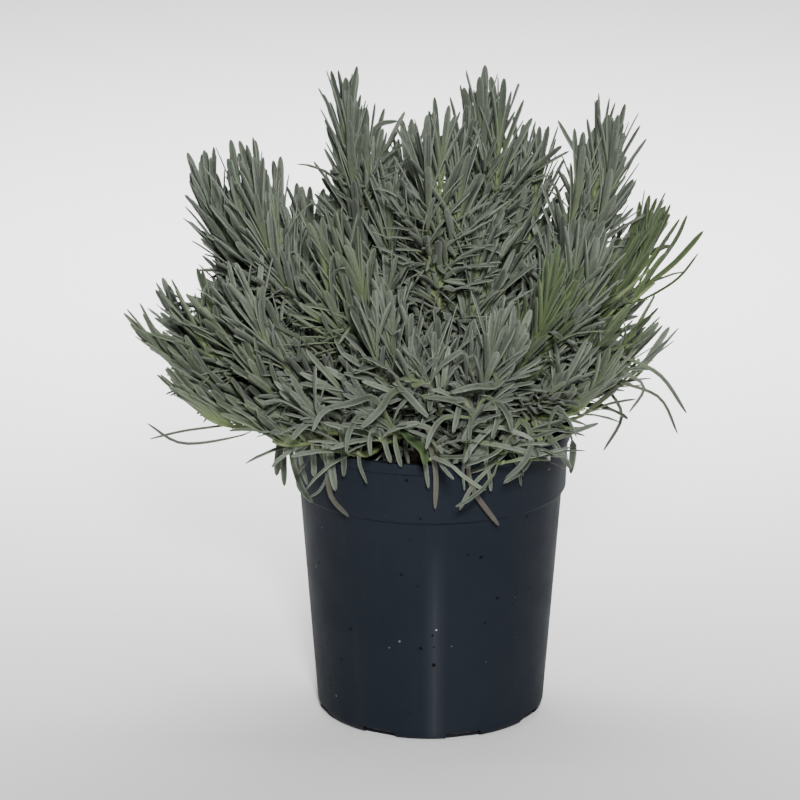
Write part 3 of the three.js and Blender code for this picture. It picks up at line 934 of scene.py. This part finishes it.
def tuft_leaves(number, leaf, key):
    """The small leaves in the axil of a leaf, more and longer lower down."""
    more = TUFT_MORE * settle(max(0.0, leaf.from_tip - TUFT_MORE_START), TUFT_MORE_REACH)
    length = within(TUFT_LENGTH, settle(leaf.from_tip, TUFT_LENGTH_REACH))
    for n in range(int(1 + more + chance(number, key, 20))):
        own = key * TUFT_KEYS + n
        lean = drawn(TUFT_LEAN, number, own, 21)
        way = leaf.axis * (TUFT_UPRIGHT - lean) + leaf.outward * lean
        astray = stray_way(number, own, 22)
        heading = unit(way + TUFT_STRAY * astray)
        bend_way = unit(np.cross(heading, unit(astray + NUDGE)))
        dryness = leaf.dryness * chance(number, own, 31)
        yield small_leaf(TUFT_LEAF, number, own, leaf.root, heading, bend_way, length, dryness=dryness)


def side_shoot_leaves(number, leaf, key):
    """A short side shoot in a leaf's axil: a twig's worth of small leaves that fan out at its end."""
    reach = drawn(SIDE_SHOOT_REACH, number, key, 40)
    way = leaf.axis * SIDE_SHOOT_ALONG + leaf.outward * drawn(SIDE_SHOOT_LEAN, number, key, 44)
    heading = unit(way + SIDE_SHOOT_STRAY * stray_way(number, key, 41))
    side = unit(np.cross(heading, UP + NUDGE))
    back = np.cross(heading, side)
    places = int(reach / SIDE_SHOOT_STEP)
    for place in range(places):
        own = key * SIDE_SHOOT_KEYS + place
        share = place / (places - 1)
        root = leaf.root + heading * reach * share + UP * SIDE_SHOOT_RISE * reach * share ** 2
        length = within(SIDE_LEAF_LENGTH, share)
        around = FIRST_LEAF_TURN + LEAF_TURN * place + SIDE_LEAF_TURN_RANGE * stray(number, own, 45)
        outward = turned(side, back, math.radians(around))
        for outward_way in (outward, -outward):
            own += 0.5
            pitch = within(SIDE_LEAF_PITCH, share) + SIDE_LEAF_PITCH_RANGE * stray(number, own, 46)
            start = unit(turned(heading, outward_way, math.radians(pitch)))
            bend_way = square_to(start, outward_way * OUTWARD_BEND - UP * DOWNWARD_BEND)
            yield small_leaf(SIDE_LEAF, number, own, root, start, bend_way, length, SIDE_LEAF_BEND_END - share)


def keeps_off_rim(leaf, number, key):
    """Whether a leaf may stay: clear of the pot's wall and not too far in front, with the rim left bare
    in one stretch of the front and nearly so elsewhere."""
    places = arc(leaf, WALL_TEST_SHARES)
    if places[:, 1].min() < -FRONT_REACH:
        return False
    away = np.hypot(places[:, 0], places[:, 1])
    inner, outer = COLLAR_FOOT_RADIUS - WALL - WALL_CLEARANCE, FLANGE_RADIUS + WALL_CLEARANCE
    if np.any((places[:, 2] < POT_HEIGHT + WALL_CLEARANCE) & (away > inner) & (away < outer)):
        return False
    x, y, z = places[-1]
    if away[-1] < RIM_REACH:
        return True
    if y < 0 and BARE_STRETCH[0] < x < BARE_STRETCH[1]:
        return z > BARE_CLEARANCE
    return z > RIM_CLEARANCE or chance(number, key, 60) < RIM_LEAF_SHARE


def stem_leaves(number, stem, habit):
    """The leaves of a shoot's own stem, with their keys. Near the tip there are the pairs of the solids'
    rule, from habit.dense on two more between them, and from habit.dense_reach on one more."""
    count = int(stem.length * LEAFY_SHARE / LEAF_STEP) + 2
    for third in range(3 * count):
        for twin in (0, 1):
            leaf = main_leaf(number, stem, third / 3, twin, habit)
            above_dense = third % 3 and leaf.from_tip < habit.dense
            below_dense = third % 3 == 2 and leaf.from_tip > habit.dense_reach
            if not above_dense and not below_dense:
                yield leaf, third / 3 + TWIN_KEY * twin


def branch_leaves(number, stem, habit):
    """The leaves of a side stem, from its tip down to its fork."""
    for level in range(int(stem.length / LEAF_STEP) + 2):
        for twin in (0, 1):
            yield main_leaf(number, stem, level, twin, habit)


def keeps(number, key, leaf, habit):
    """Whether a shoot's habit leaves room for a leaf."""
    bare = FAN_BARE_SHARE if leaf.from_tip > habit.bare_start else 1.0
    return chance(number, key, 61) < habit.share * bare


def shoot_foliage(number, name, stem, branches, habit, material):
    """All the leaves of a shoot, with the tufts and short side shoots in the axils of its own stem."""
    large = Blades(LEAF_STATIONS, LEAF_SECTION)
    small = Blades(SMALL_STATIONS, SMALL_SECTION)
    for strand, branch in enumerate(branches, 1):
        own = number + strand * STRAND_SEED
        for place, leaf in enumerate(branch_leaves(own, branch, habit)):
            if keeps(own, place, leaf, habit) and keeps_off_rim(leaf, own, place):
                large.add_arc(leaf)
    for leaf, key in stem_leaves(number, stem, habit):
        if not keeps(number, key, leaf, habit):
            continue
        if keeps_off_rim(leaf, number, key):
            large.add_arc(leaf)
        if key % 1 or leaf.from_tip < TUFT_START:
            continue
        branching = leaf.from_tip > SIDE_SHOOT_START and chance(number, key, 39) < SIDE_SHOOT_SHARE
        grow = side_shoot_leaves if branching else tuft_leaves
        for minor in grow(number, leaf, key):
            if keeps_off_rim(minor, number, key):
                small.add_arc(minor)
    return blades_object(f"leaves_{name}", [large, small], material)


def tube(places, radii, sides, squareness=0.0):
    """The rings of points round a stem's places, and the faces between them and to a point at each end."""
    points = []
    for (point, _, side, back), radius in zip(places, radii):
        for corner in range(sides):
            turn = 2 * math.pi * corner / sides
            square = 1 - squareness * math.cos(4 * turn)
            points.append(point + radius * square * turned(back, side, turn))
    return points, ring_faces(len(radii), sides)


def stem_tube(stem):
    """A stem's points, faces and heights as shares of its length, from its foot in the soil to its tip.
    It is slightly square, and swollen at its leaf pairs."""
    shares = np.linspace(0, 1, STEM_RINGS)
    foot, *ways = stem.at(0)
    places = [(foot - UP * (STEM_COLLAR + STEM_DEPTH), *ways), *map(stem.at, shares)]
    shares = np.append([0], shares)
    radii = STEM_SLIMNESS * (STEM_FOOT_RADIUS + (STEM_TIP_RADIUS - STEM_FOOT_RADIUS) * shares)
    radii *= 1 + STEM_SWELLING * np.sin(shares * stem.length * 2 * math.pi / LEAF_STEP)
    points, faces = tube(places, radii, STEM_SIDES, STEM_SQUARENESS)
    points += [(points[0] + points[STEM_SIDES // 2]) / 2, stem.points[-1]]
    return points, faces, np.append(np.repeat(shares, STEM_SIDES), [0, 1])


def branch_tube(stem):
    """A side stem's points, faces and heights as shares of the shoot's height."""
    shares = np.linspace(0, 1, BRANCH_RINGS)
    points, faces = tube(map(stem.at, shares), [BRANCH_RADIUS] * BRANCH_RINGS, BRANCH_SIDES)
    points += [stem.points[0], stem.points[-1]]
    heights = BRANCH_HEIGHT + (1 - BRANCH_HEIGHT) * np.append(np.repeat(shares, BRANCH_SIDES), [0, 1])
    return points, faces, heights


def stem_object(name, stem, branches, material):
    """A shoot's stem with its side stems."""
    points, faces, heights = [], [], []
    for tube_points, tube_faces, tube_heights in [stem_tube(stem), *map(branch_tube, branches)]:
        faces += [tuple(corner + len(points) for corner in face) for face in tube_faces]
        points += tube_points
        heights.append(tube_heights)
    made = mesh_object(f"stem_{name}", points, faces, material)
    attribute = made.data.attributes.new(name="height", type="FLOAT", domain="POINT")
    attribute.data.foreach_set("value", np.concatenate(heights))
    return made


# Single leaves


def single_leaves(name, courses, stems, material):
    """Leaves along chosen courses, each grown from the stem that is nearest to its first point, with
    its upper face to the front, upwards and a little askew."""
    blades = Blades(SINGLE_STATIONS, LEAF_SECTION)
    nodes = np.concatenate([stem.points[::SINGLE_ROOT_STEP] for stem in stems])
    for number, (points, width, dryness) in enumerate(courses):
        points = [np.array(point, float) for point in points]
        root = nodes[np.argmin(np.linalg.norm(nodes - points[0], axis=1))]
        tint = SINGLE_TINT * chance(SINGLE_SEED, number, 4)
        face = unit(np.array(SINGLE_FACING) + stray_way(SINGLE_SEED, number, 1))
        blades.add_course([root, *points], face, width, tint, dryness)
    return blades_object(name, [blades], material)


def on_front(course):
    """A course given across and up, laid HANGING_GAP outside the pot's flange."""
    places, width, dryness = course
    reach = FLANGE_RADIUS + HANGING_GAP
    points = [(x, -math.sqrt(max(reach ** 2 - x ** 2, HANGING_GAP ** 2)), z) for x, z in places]
    return points, width, dryness


def before_front(number, course):
    """A course given across and up, which comes forward out of the foliage. Where it starts further back
    it is also lower, so that it keeps its place as seen by the camera."""
    places, width, dryness = course
    depth = FRONT_DEPTH + FRONT_DEPTH_RANGE * chance(FRONT_SEED, number, 1)
    points = []
    for back, (x, z) in zip(np.linspace(1, 0, len(places)) ** 2 * FRONT_START_BACK, places):
        points.append((x, back - depth, z - back * math.tan(CAMERA_ELEVATION)))
    return points, width, dryness


# Pot and soil


def foot_rounding(wall_radius, level, rounding, steps):
    """The rounding between a floor and a wall."""
    corners = []
    for turn in np.linspace(0, math.pi / 2, steps + 1):
        radius = wall_radius - rounding * (1 - math.sin(turn))
        corners.append((radius, level + rounding * (1 - math.cos(turn))))
    return corners


def inner_wall(gap, steps):
    """The pot's inner wall up to its collar, or a wall that keeps a gap to it."""
    inset = WALL + gap
    return [
        *foot_rounding(BODY_FOOT_RADIUS - inset, inset, FOOT_ROUNDING - WALL, steps),
        (BODY_TOP_RADIUS - inset, COLLAR_FOOT_HEIGHT - COLLAR_STEP + gap),
        (COLLAR_FOOT_RADIUS - inset, COLLAR_FOOT_HEIGHT + gap),
    ]


def softened(profile, radius):
    """A profile whose inner corners are cut by small arcs, as a mould leaves them."""
    out = [profile[0]]
    for three in zip(profile, profile[1:], profile[2:]):
        before, corner, after = (np.array(point, float) for point in three)
        start, end = (
            corner + unit(way) * min(radius, CORNER_SHARE * np.linalg.norm(way))
            for way in (before - corner, after - corner)
        )
        for t in (0, 1 / 3, 2 / 3, 1):
            out.append(tuple(start * (1 - t) ** 2 + 2 * corner * t * (1 - t) + end * t ** 2))
    return out + [profile[-1]]


def lathe(name, profile, sides, material):
    """A closed body turned round +Z from a profile whose ends lie on the axis."""
    middle = profile[1:-1]
    turns = np.linspace(0, 2 * math.pi, sides, endpoint=False)
    points = [(r * math.cos(a), r * math.sin(a), z) for r, z in middle for a in turns]
    points += [(0, 0, profile[0][1]), (0, 0, profile[-1][1])]
    return mesh_object(name, points, ring_faces(len(middle), sides), material)


def notch_cutter():
    """Rounded boxes round the pot's foot, one for each notch, as one object."""
    bm = bmesh.new()
    size = Vector((NOTCH_WIDTH, NOTCH_DEPTH, 2 * NOTCH_HEIGHT)) * MM
    for index in range(NOTCH_COUNT):
        turn = math.radians(FIRST_NOTCH_ANGLE + 360 / NOTCH_COUNT * index)
        box = bmesh.ops.create_cube(bm, size=1)["verts"]
        bmesh.ops.scale(bm, vec=size, verts=box)
        bmesh.ops.translate(bm, vec=(0, -BODY_FOOT_RADIUS * MM, 0), verts=box)
        bmesh.ops.rotate(bm, verts=box, cent=(0, 0, 0), matrix=Matrix.Rotation(turn, 3, Vector(UP)))
    level = [edge for edge in bm.edges if abs((edge.verts[0].co - edge.verts[1].co).z) < TOLERANCE]
    radial = [edge for edge in level if abs(edge.calc_length() - NOTCH_DEPTH * MM) < TOLERANCE]
    rounding = {"offset": NOTCH_CORNER * MM, "segments": NOTCH_CORNER_STEPS, "profile": 0.5}
    bmesh.ops.bevel(bm, geom=radial, affect="EDGES", **rounding)
    return bmesh_object("notch_cutter", bm)


def cut(target, cutter):
    """Takes the cutter away from the target for good, and removes the cutter."""
    modifier = target.modifiers.new("cut", "BOOLEAN")
    modifier.object = cutter
    modifier.operation = "DIFFERENCE"
    modifier.solver = "EXACT"
    bpy.context.view_layer.update()
    evaluated = target.evaluated_get(bpy.context.evaluated_depsgraph_get())
    made = bpy.data.meshes.new_from_object(evaluated)
    target.modifiers.clear()
    target.data = made
    bpy.data.objects.remove(cutter)


def sharpen(target, angle):
    """Marks the edges that turn more than an angle as sharp, and shades the rest smooth."""
    bm = bmesh.new()
    bm.from_mesh(target.data)
    for face in bm.faces:
        face.smooth = True
    for edge in bm.edges:
        edge.smooth = edge.calc_face_angle(0) < angle
    bm.to_mesh(target.data)
    bm.free()


def pot_object(material):
    outside = [
        (0, 0),
        *foot_rounding(BODY_FOOT_RADIUS, 0, FOOT_ROUNDING, ROUNDING_STEPS),
        (BODY_TOP_RADIUS, COLLAR_FOOT_HEIGHT - COLLAR_STEP),
        (COLLAR_FOOT_RADIUS, COLLAR_FOOT_HEIGHT),
        (COLLAR_TOP_RADIUS, POT_HEIGHT - FLANGE_HEIGHT),
        (FLANGE_RADIUS, POT_HEIGHT - FLANGE_HEIGHT + FLANGE_UNDERCUT),
        (FLANGE_RADIUS, POT_HEIGHT),
    ]
    inside = [(COLLAR_TOP_RADIUS - WALL, POT_HEIGHT), *reversed(inner_wall(0, ROUNDING_STEPS)), (0, WALL)]
    made = lathe("pot_shell", softened(outside + inside, CORNER_RADIUS), POT_SIDES, material)
    cut(made, notch_cutter())
    sharpen(made, SHARP_ANGLE)
    return made


def soil_object(material):
    """The soil's body, with a crumbly top."""
    wall = inner_wall(SOIL_GAP, SOIL_WALL_STEPS)
    edge = wall[-1][0] + (COLLAR_TOP_RADIUS - COLLAR_FOOT_RADIUS) / 2
    top = [(edge * (1 - ring / SOIL_RINGS), SOIL_TOP) for ring in range(SOIL_RINGS + 1)]
    made = lathe("soil_body", [(0, wall[0][1]), *wall, *top], SOIL_SIDES, material)
    for vertex in made.data.vertices:
        if vertex.co.z > SOIL_TOP * MM - TOLERANCE:
            x, y, _ = vertex.co / MM
            crumbs = CRUMB_HEIGHT * noise.fractal((x * CRUMB_SCALE, y * CRUMB_SCALE, 0), *CRUMB_FRACTAL)
            vertex.co.z = (soil_height(x, y) + crumbs) * MM
    return made


def blob(bm, centre, size, seed, roughness):
    """A small irregular lump in a bmesh."""
    lump = bmesh.ops.create_icosphere(bm, subdivisions=1, radius=1)["verts"]
    shift = Vector((seed, seed * GRAIN_SHIFT, 0))
    for vertex in lump:
        push = 1 + roughness * noise.noise(vertex.co * GRAIN_WAVES + shift)
        vertex.co = Vector([place * side for place, side in zip(vertex.co, size)]) * push
    axis = Vector((chance(seed, 1, 1), chance(seed, 1, 2), GRAIN_AXIS_RISE)).normalized()
    spin = Matrix.Rotation(GRAIN_SPIN * chance(seed, 1, 3), 3, axis)
    bmesh.ops.rotate(bm, verts=lump, cent=(0, 0, 0), matrix=spin)
    bmesh.ops.translate(bm, verts=lump, vec=centre)


def scatter_object(name, material, count, seed, sizes, roughness):
    """Lumps scattered over the soil's top."""
    bm = bmesh.new()
    for index in range(count):
        place = soil_place(SCATTER_RADIUS * math.sqrt(chance(seed, index, 1)), seed, index)
        size = sizes[0] + (sizes[1] - sizes[0]) * chance(seed, index, 3) ** 2
        shape = [size * drawn(GRAIN_SIDES, seed, index, use) * MM for use in (4, 5, 6)]
        blob(bm, Vector(place + UP * SCATTER_RISE * size) * MM, shape, seed + index, roughness)
    for face in bm.faces:
        face.smooth = True
    made = bmesh_object(name, bm)
    made.data.materials.append(material)
    return made


def litter_object(material):
    """Dry fallen leaves on the soil."""
    blades = Blades(SMALL_STATIONS, SMALL_SECTION)
    for index in range(LITTER_COUNT):
        radius = within(LITTER_RADIUS, math.sqrt(chance(LITTER_SEED, index, 1)))
        way = 2 * math.pi * chance(LITTER_SEED, index, 3)
        heading = unit(np.array([math.cos(way), math.sin(way), LITTER_RISE]))
        aside = np.array([math.sin(way), -math.cos(way), LITTER_TILT])
        root = soil_place(radius, LITTER_SEED, index) + UP * LITTER_HEIGHT
        bend_way = unit(np.cross(heading, aside))
        dryness = drawn(LITTER_DRYNESS, LITTER_SEED, index, 10)
        blades.add_arc(small_leaf(FALLEN_LEAF, LITTER_SEED, index, root, heading, bend_way, dryness=dryness))
    return blades_object("fallen_leaves", [blades], material)


# Materials


class Shading:
    """A new material, with short ways to add nodes to it."""

    def __init__(self, name):
        self.material = bpy.data.materials.new(name)
        self.material.use_nodes = True
        self.tree = self.material.node_tree

    def plug(self, socket, value):
        """Gives an input a number or a colour, or links it to another node's output."""
        if isinstance(value, bpy.types.NodeSocket):
            self.tree.links.new(value, socket)
        elif socket.type == "RGBA":
            socket.default_value = (*value, 1)
        else:
            socket.default_value = value

    def node(self, kind, **values):
        """A new node, whose values are for its inputs or else for its settings."""
        made = self.tree.nodes.new("ShaderNode" + kind)
        for key, value in values.items():
            if key in made.inputs:
                self.plug(made.inputs[key], value)
            else:
                setattr(made, key, value)
        return made

    def place(self):
        return self.node("TexCoord").outputs["Object"]

    def ramp(self, source, *stops):
        """A colour for each value of the source. The stops' colours can be greys in one number."""
        made = self.node("ValToRGB", Fac=source)
        elements = made.color_ramp.elements
        while len(elements) < len(stops):
            elements.new(0.5)
        for element, (position, colour) in zip(elements, stops):
            element.position = position
            element.color = (*colour, 1) if isinstance(colour, tuple) else (colour, colour, colour, 1)
        return made.outputs["Color"]

    def mixed(self, share, first, second, blend="MIX"):
        made = self.node("Mix", data_type="RGBA", blend_type=blend, Factor=share, A=first, B=second)
        return made.outputs["Result"]

    def maths(self, operation, first, second=0.0, clamp=False):
        made = self.node("Math", operation=operation, use_clamp=clamp)
        self.plug(made.inputs[0], first)
        self.plug(made.inputs[1], second)
        return made.outputs["Value"]

    def noise(self, scale, detail=3.0, roughness=0.5, stretch=(1, 1, 1)):
        place = self.node("Mapping", Vector=self.place(), Scale=stretch).outputs["Vector"]
        made = self.node("TexNoise", Vector=place, Scale=scale, Detail=detail, Roughness=roughness)
        return made.outputs["Fac"]

    def bump(self, height, distance, strength):
        return self.node("Bump", Height=height, Distance=distance, Strength=strength).outputs["Normal"]

    def finish(self, **values):
        """Gives the shader its values, with their names in small letters, and returns the material."""
        shader = self.tree.nodes["Principled BSDF"]
        for socket in shader.inputs:
            key = socket.name.lower().replace(" ", "_")
            if key in values:
                self.plug(socket, values[key])
        return self.material


def leaf_material(name, dark, light, margin, fresh):
    """Felted leaf: each its own tone, darker along its middle as painted shade, with a painted highlight
    paling the margins, a fresher base and brown where it is dry."""
    nodes = Shading(name)
    marks = nodes.node("Attribute", attribute_name="leaf")
    parts = nodes.node("SeparateColor", Color=marks.outputs["Color"])
    across, along, tint = (parts.outputs[part] for part in ("Red", "Green", "Blue"))
    mottle = nodes.ramp(nodes.noise(420, 3, 0.6), (0.35, 0.82), (0.7, (1.12, 1.12, 1.1)))
    # Painted shade darkens the middle of each leaf, and a painted highlight pales its margins.
    groove_shade = nodes.ramp(across, (0.0, 0.68), (0.42, 1.05))
    edge = nodes.ramp(across, (0.6, 0.0), (0.95, 0.6))
    base = nodes.ramp(along, (0.0, 0.9), (0.25, 0.4), (0.6, 0.0))
    browns = (0.0, (0.04, 0.033, 0.026)), (0.5, (0.07, 0.06, 0.047)), (1.0, (0.11, 0.1, 0.078))
    patchy = nodes.maths("MULTIPLY", nodes.noise(160, 2), 0.9)
    dryness = nodes.maths("MULTIPLY", marks.outputs["Alpha"], 1.9)
    colour = nodes.ramp(tint, (0.0, dark), (1.0, light))
    colour = nodes.mixed(1.0, colour, mottle, "MULTIPLY")
    # Painted shade along the middle, then the painted highlight on the margins
    colour = nodes.mixed(1.0, colour, groove_shade, "MULTIPLY")
    colour = nodes.mixed(edge, colour, margin)
    colour = nodes.mixed(base, colour, fresh)
    dry = nodes.maths("SUBTRACT", dryness, patchy, clamp=True)
    colour = nodes.mixed(dry, colour, nodes.ramp(tint, *browns))
    roughness = nodes.maths("ADD", nodes.maths("MULTIPLY", nodes.noise(900, 2), 0.2), 0.55)
    return nodes.finish(
        base_color=colour,
        roughness=roughness,
        specular_ior_level=0.3,
        sheen_weight=0.12,
        sheen_roughness=0.5,
        normal=nodes.bump(nodes.noise(1500, 3, 0.7), 0.0002, 0.5),
    )


def stem_material():
    """Square stems: fresh yellow-green above, woody brown near the soil."""
    nodes = Shading("stem_bark")
    height = nodes.node("Attribute", attribute_name="height").outputs["Fac"]
    streaks = nodes.noise(300, 4, 0.6, (1, 1, 0.25))
    place = nodes.maths("ADD", height, nodes.maths("MULTIPLY", streaks, 0.2))
    wood = (0.12, (0.06, 0.04, 0.026)), (0.3, (0.12, 0.1, 0.06))
    green = (0.5, (0.14, 0.18, 0.065)), (0.9, (0.13, 0.17, 0.07))
    colour = nodes.ramp(place, *wood, *green)
    return nodes.finish(base_color=colour, roughness=0.75, normal=nodes.bump(streaks, 0.0006, 0.6))


def specks(nodes, scale, radius, share):
    """1 on small round specks, in a share of the cells of a scattered pattern, and 0 elsewhere."""
    cells = nodes.node("TexVoronoi", Scale=scale, Vector=nodes.place())
    parts = nodes.node("SeparateColor", Color=cells.outputs["Color"])
    chosen = nodes.maths("LESS_THAN", parts.outputs["Red"], share)
    size = nodes.maths("MULTIPLY", parts.outputs["Green"], radius * scale)
    near = nodes.maths("LESS_THAN", cells.outputs["Distance"], size)
    return nodes.maths("MULTIPLY", chosen, near)


def painted_highlight_stripe(nodes):
    """A soft upright stripe down the front, lighter in colour: a painted highlight."""
    parts = nodes.node("SeparateXYZ", Vector=nodes.place())
    x, y, z = (parts.outputs[part] for part in "XYZ")
    away = nodes.maths("ABSOLUTE", nodes.maths("SUBTRACT", x, HIGHLIGHT_STRIPE_X * MM))
    away = nodes.maths("DIVIDE", away, HIGHLIGHT_STRIPE_REACH * MM)
    near = nodes.maths("SUBTRACT", 1.0, away, clamp=True)
    near = nodes.maths("MULTIPLY", near, near)
    near = nodes.maths("MULTIPLY", near, nodes.maths("LESS_THAN", y, 0.0))
    below = nodes.maths("SUBTRACT", HIGHLIGHT_STRIPE_TOP * MM, z)
    below = nodes.maths("MULTIPLY", below, 1 / (HIGHLIGHT_STRIPE_FADE * MM), clamp=True)
    return nodes.maths("MULTIPLY", near, below)


def plastic_material():
    """Moulded anthracite plastic with dust, faint streaks, small splashes of dirt and a painted highlight
    stripe down the front.
    """
    nodes = Shading("pot_plastic")
    cloud = nodes.noise(14, 4, 0.55)
    streaks = nodes.ramp(nodes.noise(60, 3, 0.6, (1, 1, 0.12)), (0.55, 0.0), (0.85, 0.3))
    colour = nodes.ramp(cloud, (0.3, (0.0085, 0.0115, 0.017)), (0.7, (0.0115, 0.0145, 0.0205)))
    colour = nodes.mixed(streaks, colour, (0.024, 0.027, 0.03))
    # The lighter stripe down the front is a painted highlight.
    colour = nodes.mixed(painted_highlight_stripe(nodes), colour, (0.024, 0.027, 0.034))
    for scale, radius, share, tone in (
        (110, 0.0013, 0.7, (0.003, 0.003, 0.003)),
        (100, 0.0009, 0.5, (0.09, 0.1, 0.1)),
        (60, 0.0011, 0.3, (0.4, 0.4, 0.37)),
    ):
        colour = nodes.mixed(specks(nodes, scale, radius, share), colour, tone)
    return nodes.finish(
        base_color=colour,
        roughness=nodes.ramp(nodes.noise(45, 4, 0.6), (0.3, 0.52), (0.75, 0.64)),
        specular_ior_level=0.06,
        normal=nodes.bump(nodes.noise(700, 3, 0.6), 0.0001, 0.25),
    )


def grain_material(name, noise_values, stops, roughness, relief):
    """Grains of several tones that stand out a little."""
    nodes = Shading(name)
    grain = nodes.noise(*noise_values)
    colour = nodes.ramp(grain, *stops)
    return nodes.finish(base_color=colour, roughness=roughness, normal=nodes.bump(grain, *relief))


def soil_material():
    stops = (0.3, (0.008, 0.005, 0.004)), (0.55, (0.03, 0.02, 0.014)), (0.8, (0.075, 0.05, 0.034))
    return grain_material("peat", (260, 6, 0.7), stops, 0.92, (0.0016, 1.0))


def perlite_material():
    stops = (0.3, (0.35, 0.33, 0.29)), (0.7, (0.62, 0.6, 0.55))
    return grain_material("perlite", (500, 3, 0.6), stops, 0.85, (0.0004, 0.6))


# Camera, floor and light


def camera():
    data = bpy.data.cameras.new("camera")
    data.sensor_width = SENSOR_WIDTH
    data.lens = SENSOR_WIDTH * CAMERA_DISTANCE / FRAME_WIDTH_AT_TARGET
    data.clip_end = CAMERA_CLIP_END
    made = linked("camera", data)
    away = Vector((0, -math.cos(CAMERA_ELEVATION), math.sin(CAMERA_ELEVATION)))
    made.location = Vector(CAMERA_TARGET) + away * CAMERA_DISTANCE
    made.rotation_euler = (math.pi / 2 - CAMERA_ELEVATION, 0, 0)
    bpy.context.scene.camera = made


def floor():
    material = Shading("floor").finish(base_color=(0.86, 0.86, 0.86), roughness=0.9)
    corners = [(x * FLOOR_REACH, y * FLOOR_REACH, 0) for x, y in ((-1, -1), (1, -1), (1, 1), (-1, 1))]
    made = mesh_object("floor", corners, [(0, 1, 2, 3)], material)
    made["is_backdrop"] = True


def area_light(name, place, target, size, power):
    data = bpy.data.lights.new(name, "AREA")
    data.shape = "DISK"
    data.size = size
    data.energy = power
    made = linked(name, data)
    made.location = place
    made.rotation_euler = (Vector(target) - Vector(place)).to_track_quat("-Z", "Y").to_euler()


def light():
    world = bpy.data.worlds.new("studio")
    world.use_nodes = True
    background = world.node_tree.nodes["Background"]
    background.inputs["Color"].default_value = (1, 1, 1, 1)
    background.inputs["Strength"].default_value = WORLD_STRENGTH
    bpy.context.scene.world = world
    for lamp in LIGHTS:
        area_light(*lamp)


# The pieces, with what each replaces


def ground_pieces(leaf):
    """The soil and what lies on it."""
    soil = soil_object(soil_material())
    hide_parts("soil")
    crumbs = scatter_object("soil_crumbs", soil.data.materials[0], **CRUMBS)
    perlite = scatter_object("perlite_grains", perlite_material(), **PERLITE)
    litter = litter_object(leaf)
    ground = [soil, crumbs, perlite, litter]
    return ground


def shoot_pieces(stems, leaves, bark):
    """Each shoot's foliage, which takes the place of its solid if it has one, and its stem."""
    pieces = []
    for number, (name, stem) in enumerate(stems.items()):
        is_green = name in GREEN_SHOOTS
        leaf = "green_leaf" if is_green else "fresh_leaf" if name in FRESH_SHOOTS else "grey_leaf"
        habit = habit_of(name)
        branches = [stem.branch(number, index) for index in range(habit.branches)]
        foliage = shoot_foliage(number, name, stem, branches, habit, leaves[leaf])
        if name in SHOOTS:
            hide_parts(f"shoot_{name}")
        wood = stem_object(name, stem, branches, bark)
        for piece in (foliage, wood):
            pieces.append(piece)
    return pieces


def single_pieces(stems, leaves):
    """The leaves that hang over the rim, arch in front of the foliage or stand out of the outline."""
    hanging = [on_front(course) for course in HANGING_LEAVES]
    arching = [before_front(number, course) for number, course in enumerate(FRONT_LEAVES)]
    pieces = []
    for name, courses, leaf, slot in (
        ("leaves_hanging_over_rim", hanging, "grey_leaf", "grey_leaf"),
        ("leaves_arching_in_front", arching, "grey_leaf", "grey_leaf"),
        ("leaf_arching_green", [before_front(0, GREEN_FRONT_LEAF)], "deep_green_leaf", "green_leaf"),
        ("leaves_straying", STRAY_LEAVES, "grey_leaf", "grey_leaf"),
        ("leaves_straying_green", GREEN_STRAY_LEAVES, "green_leaf", "green_leaf"),
    ):
        piece = single_leaves(name, courses, stems, leaves[leaf])
        pieces.append(piece)
    return pieces


def main():
    camera()
    floor()
    light()
    leaves = {name: leaf_material(name, *colours) for name, colours in LEAF_COLOURS.items()}
    bark = stem_material()

    pot = pot_object(plastic_material())
    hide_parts("pot")

    ground = ground_pieces(leaves["grey_leaf"])
    stems = grown_stems()
    shoots = shoot_pieces(stems, leaves, bark)
    singles = single_pieces([stems[name] for name in SHOOTS], leaves)

    for piece in [pot, *ground, *shoots, *singles]:
        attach(piece, "root")

    sizes = {"cad": cad_bounds, "visual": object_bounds()}
    plain = {key: [list(map(float, corner)) for corner in value] for key, value in sizes.items()}


main()
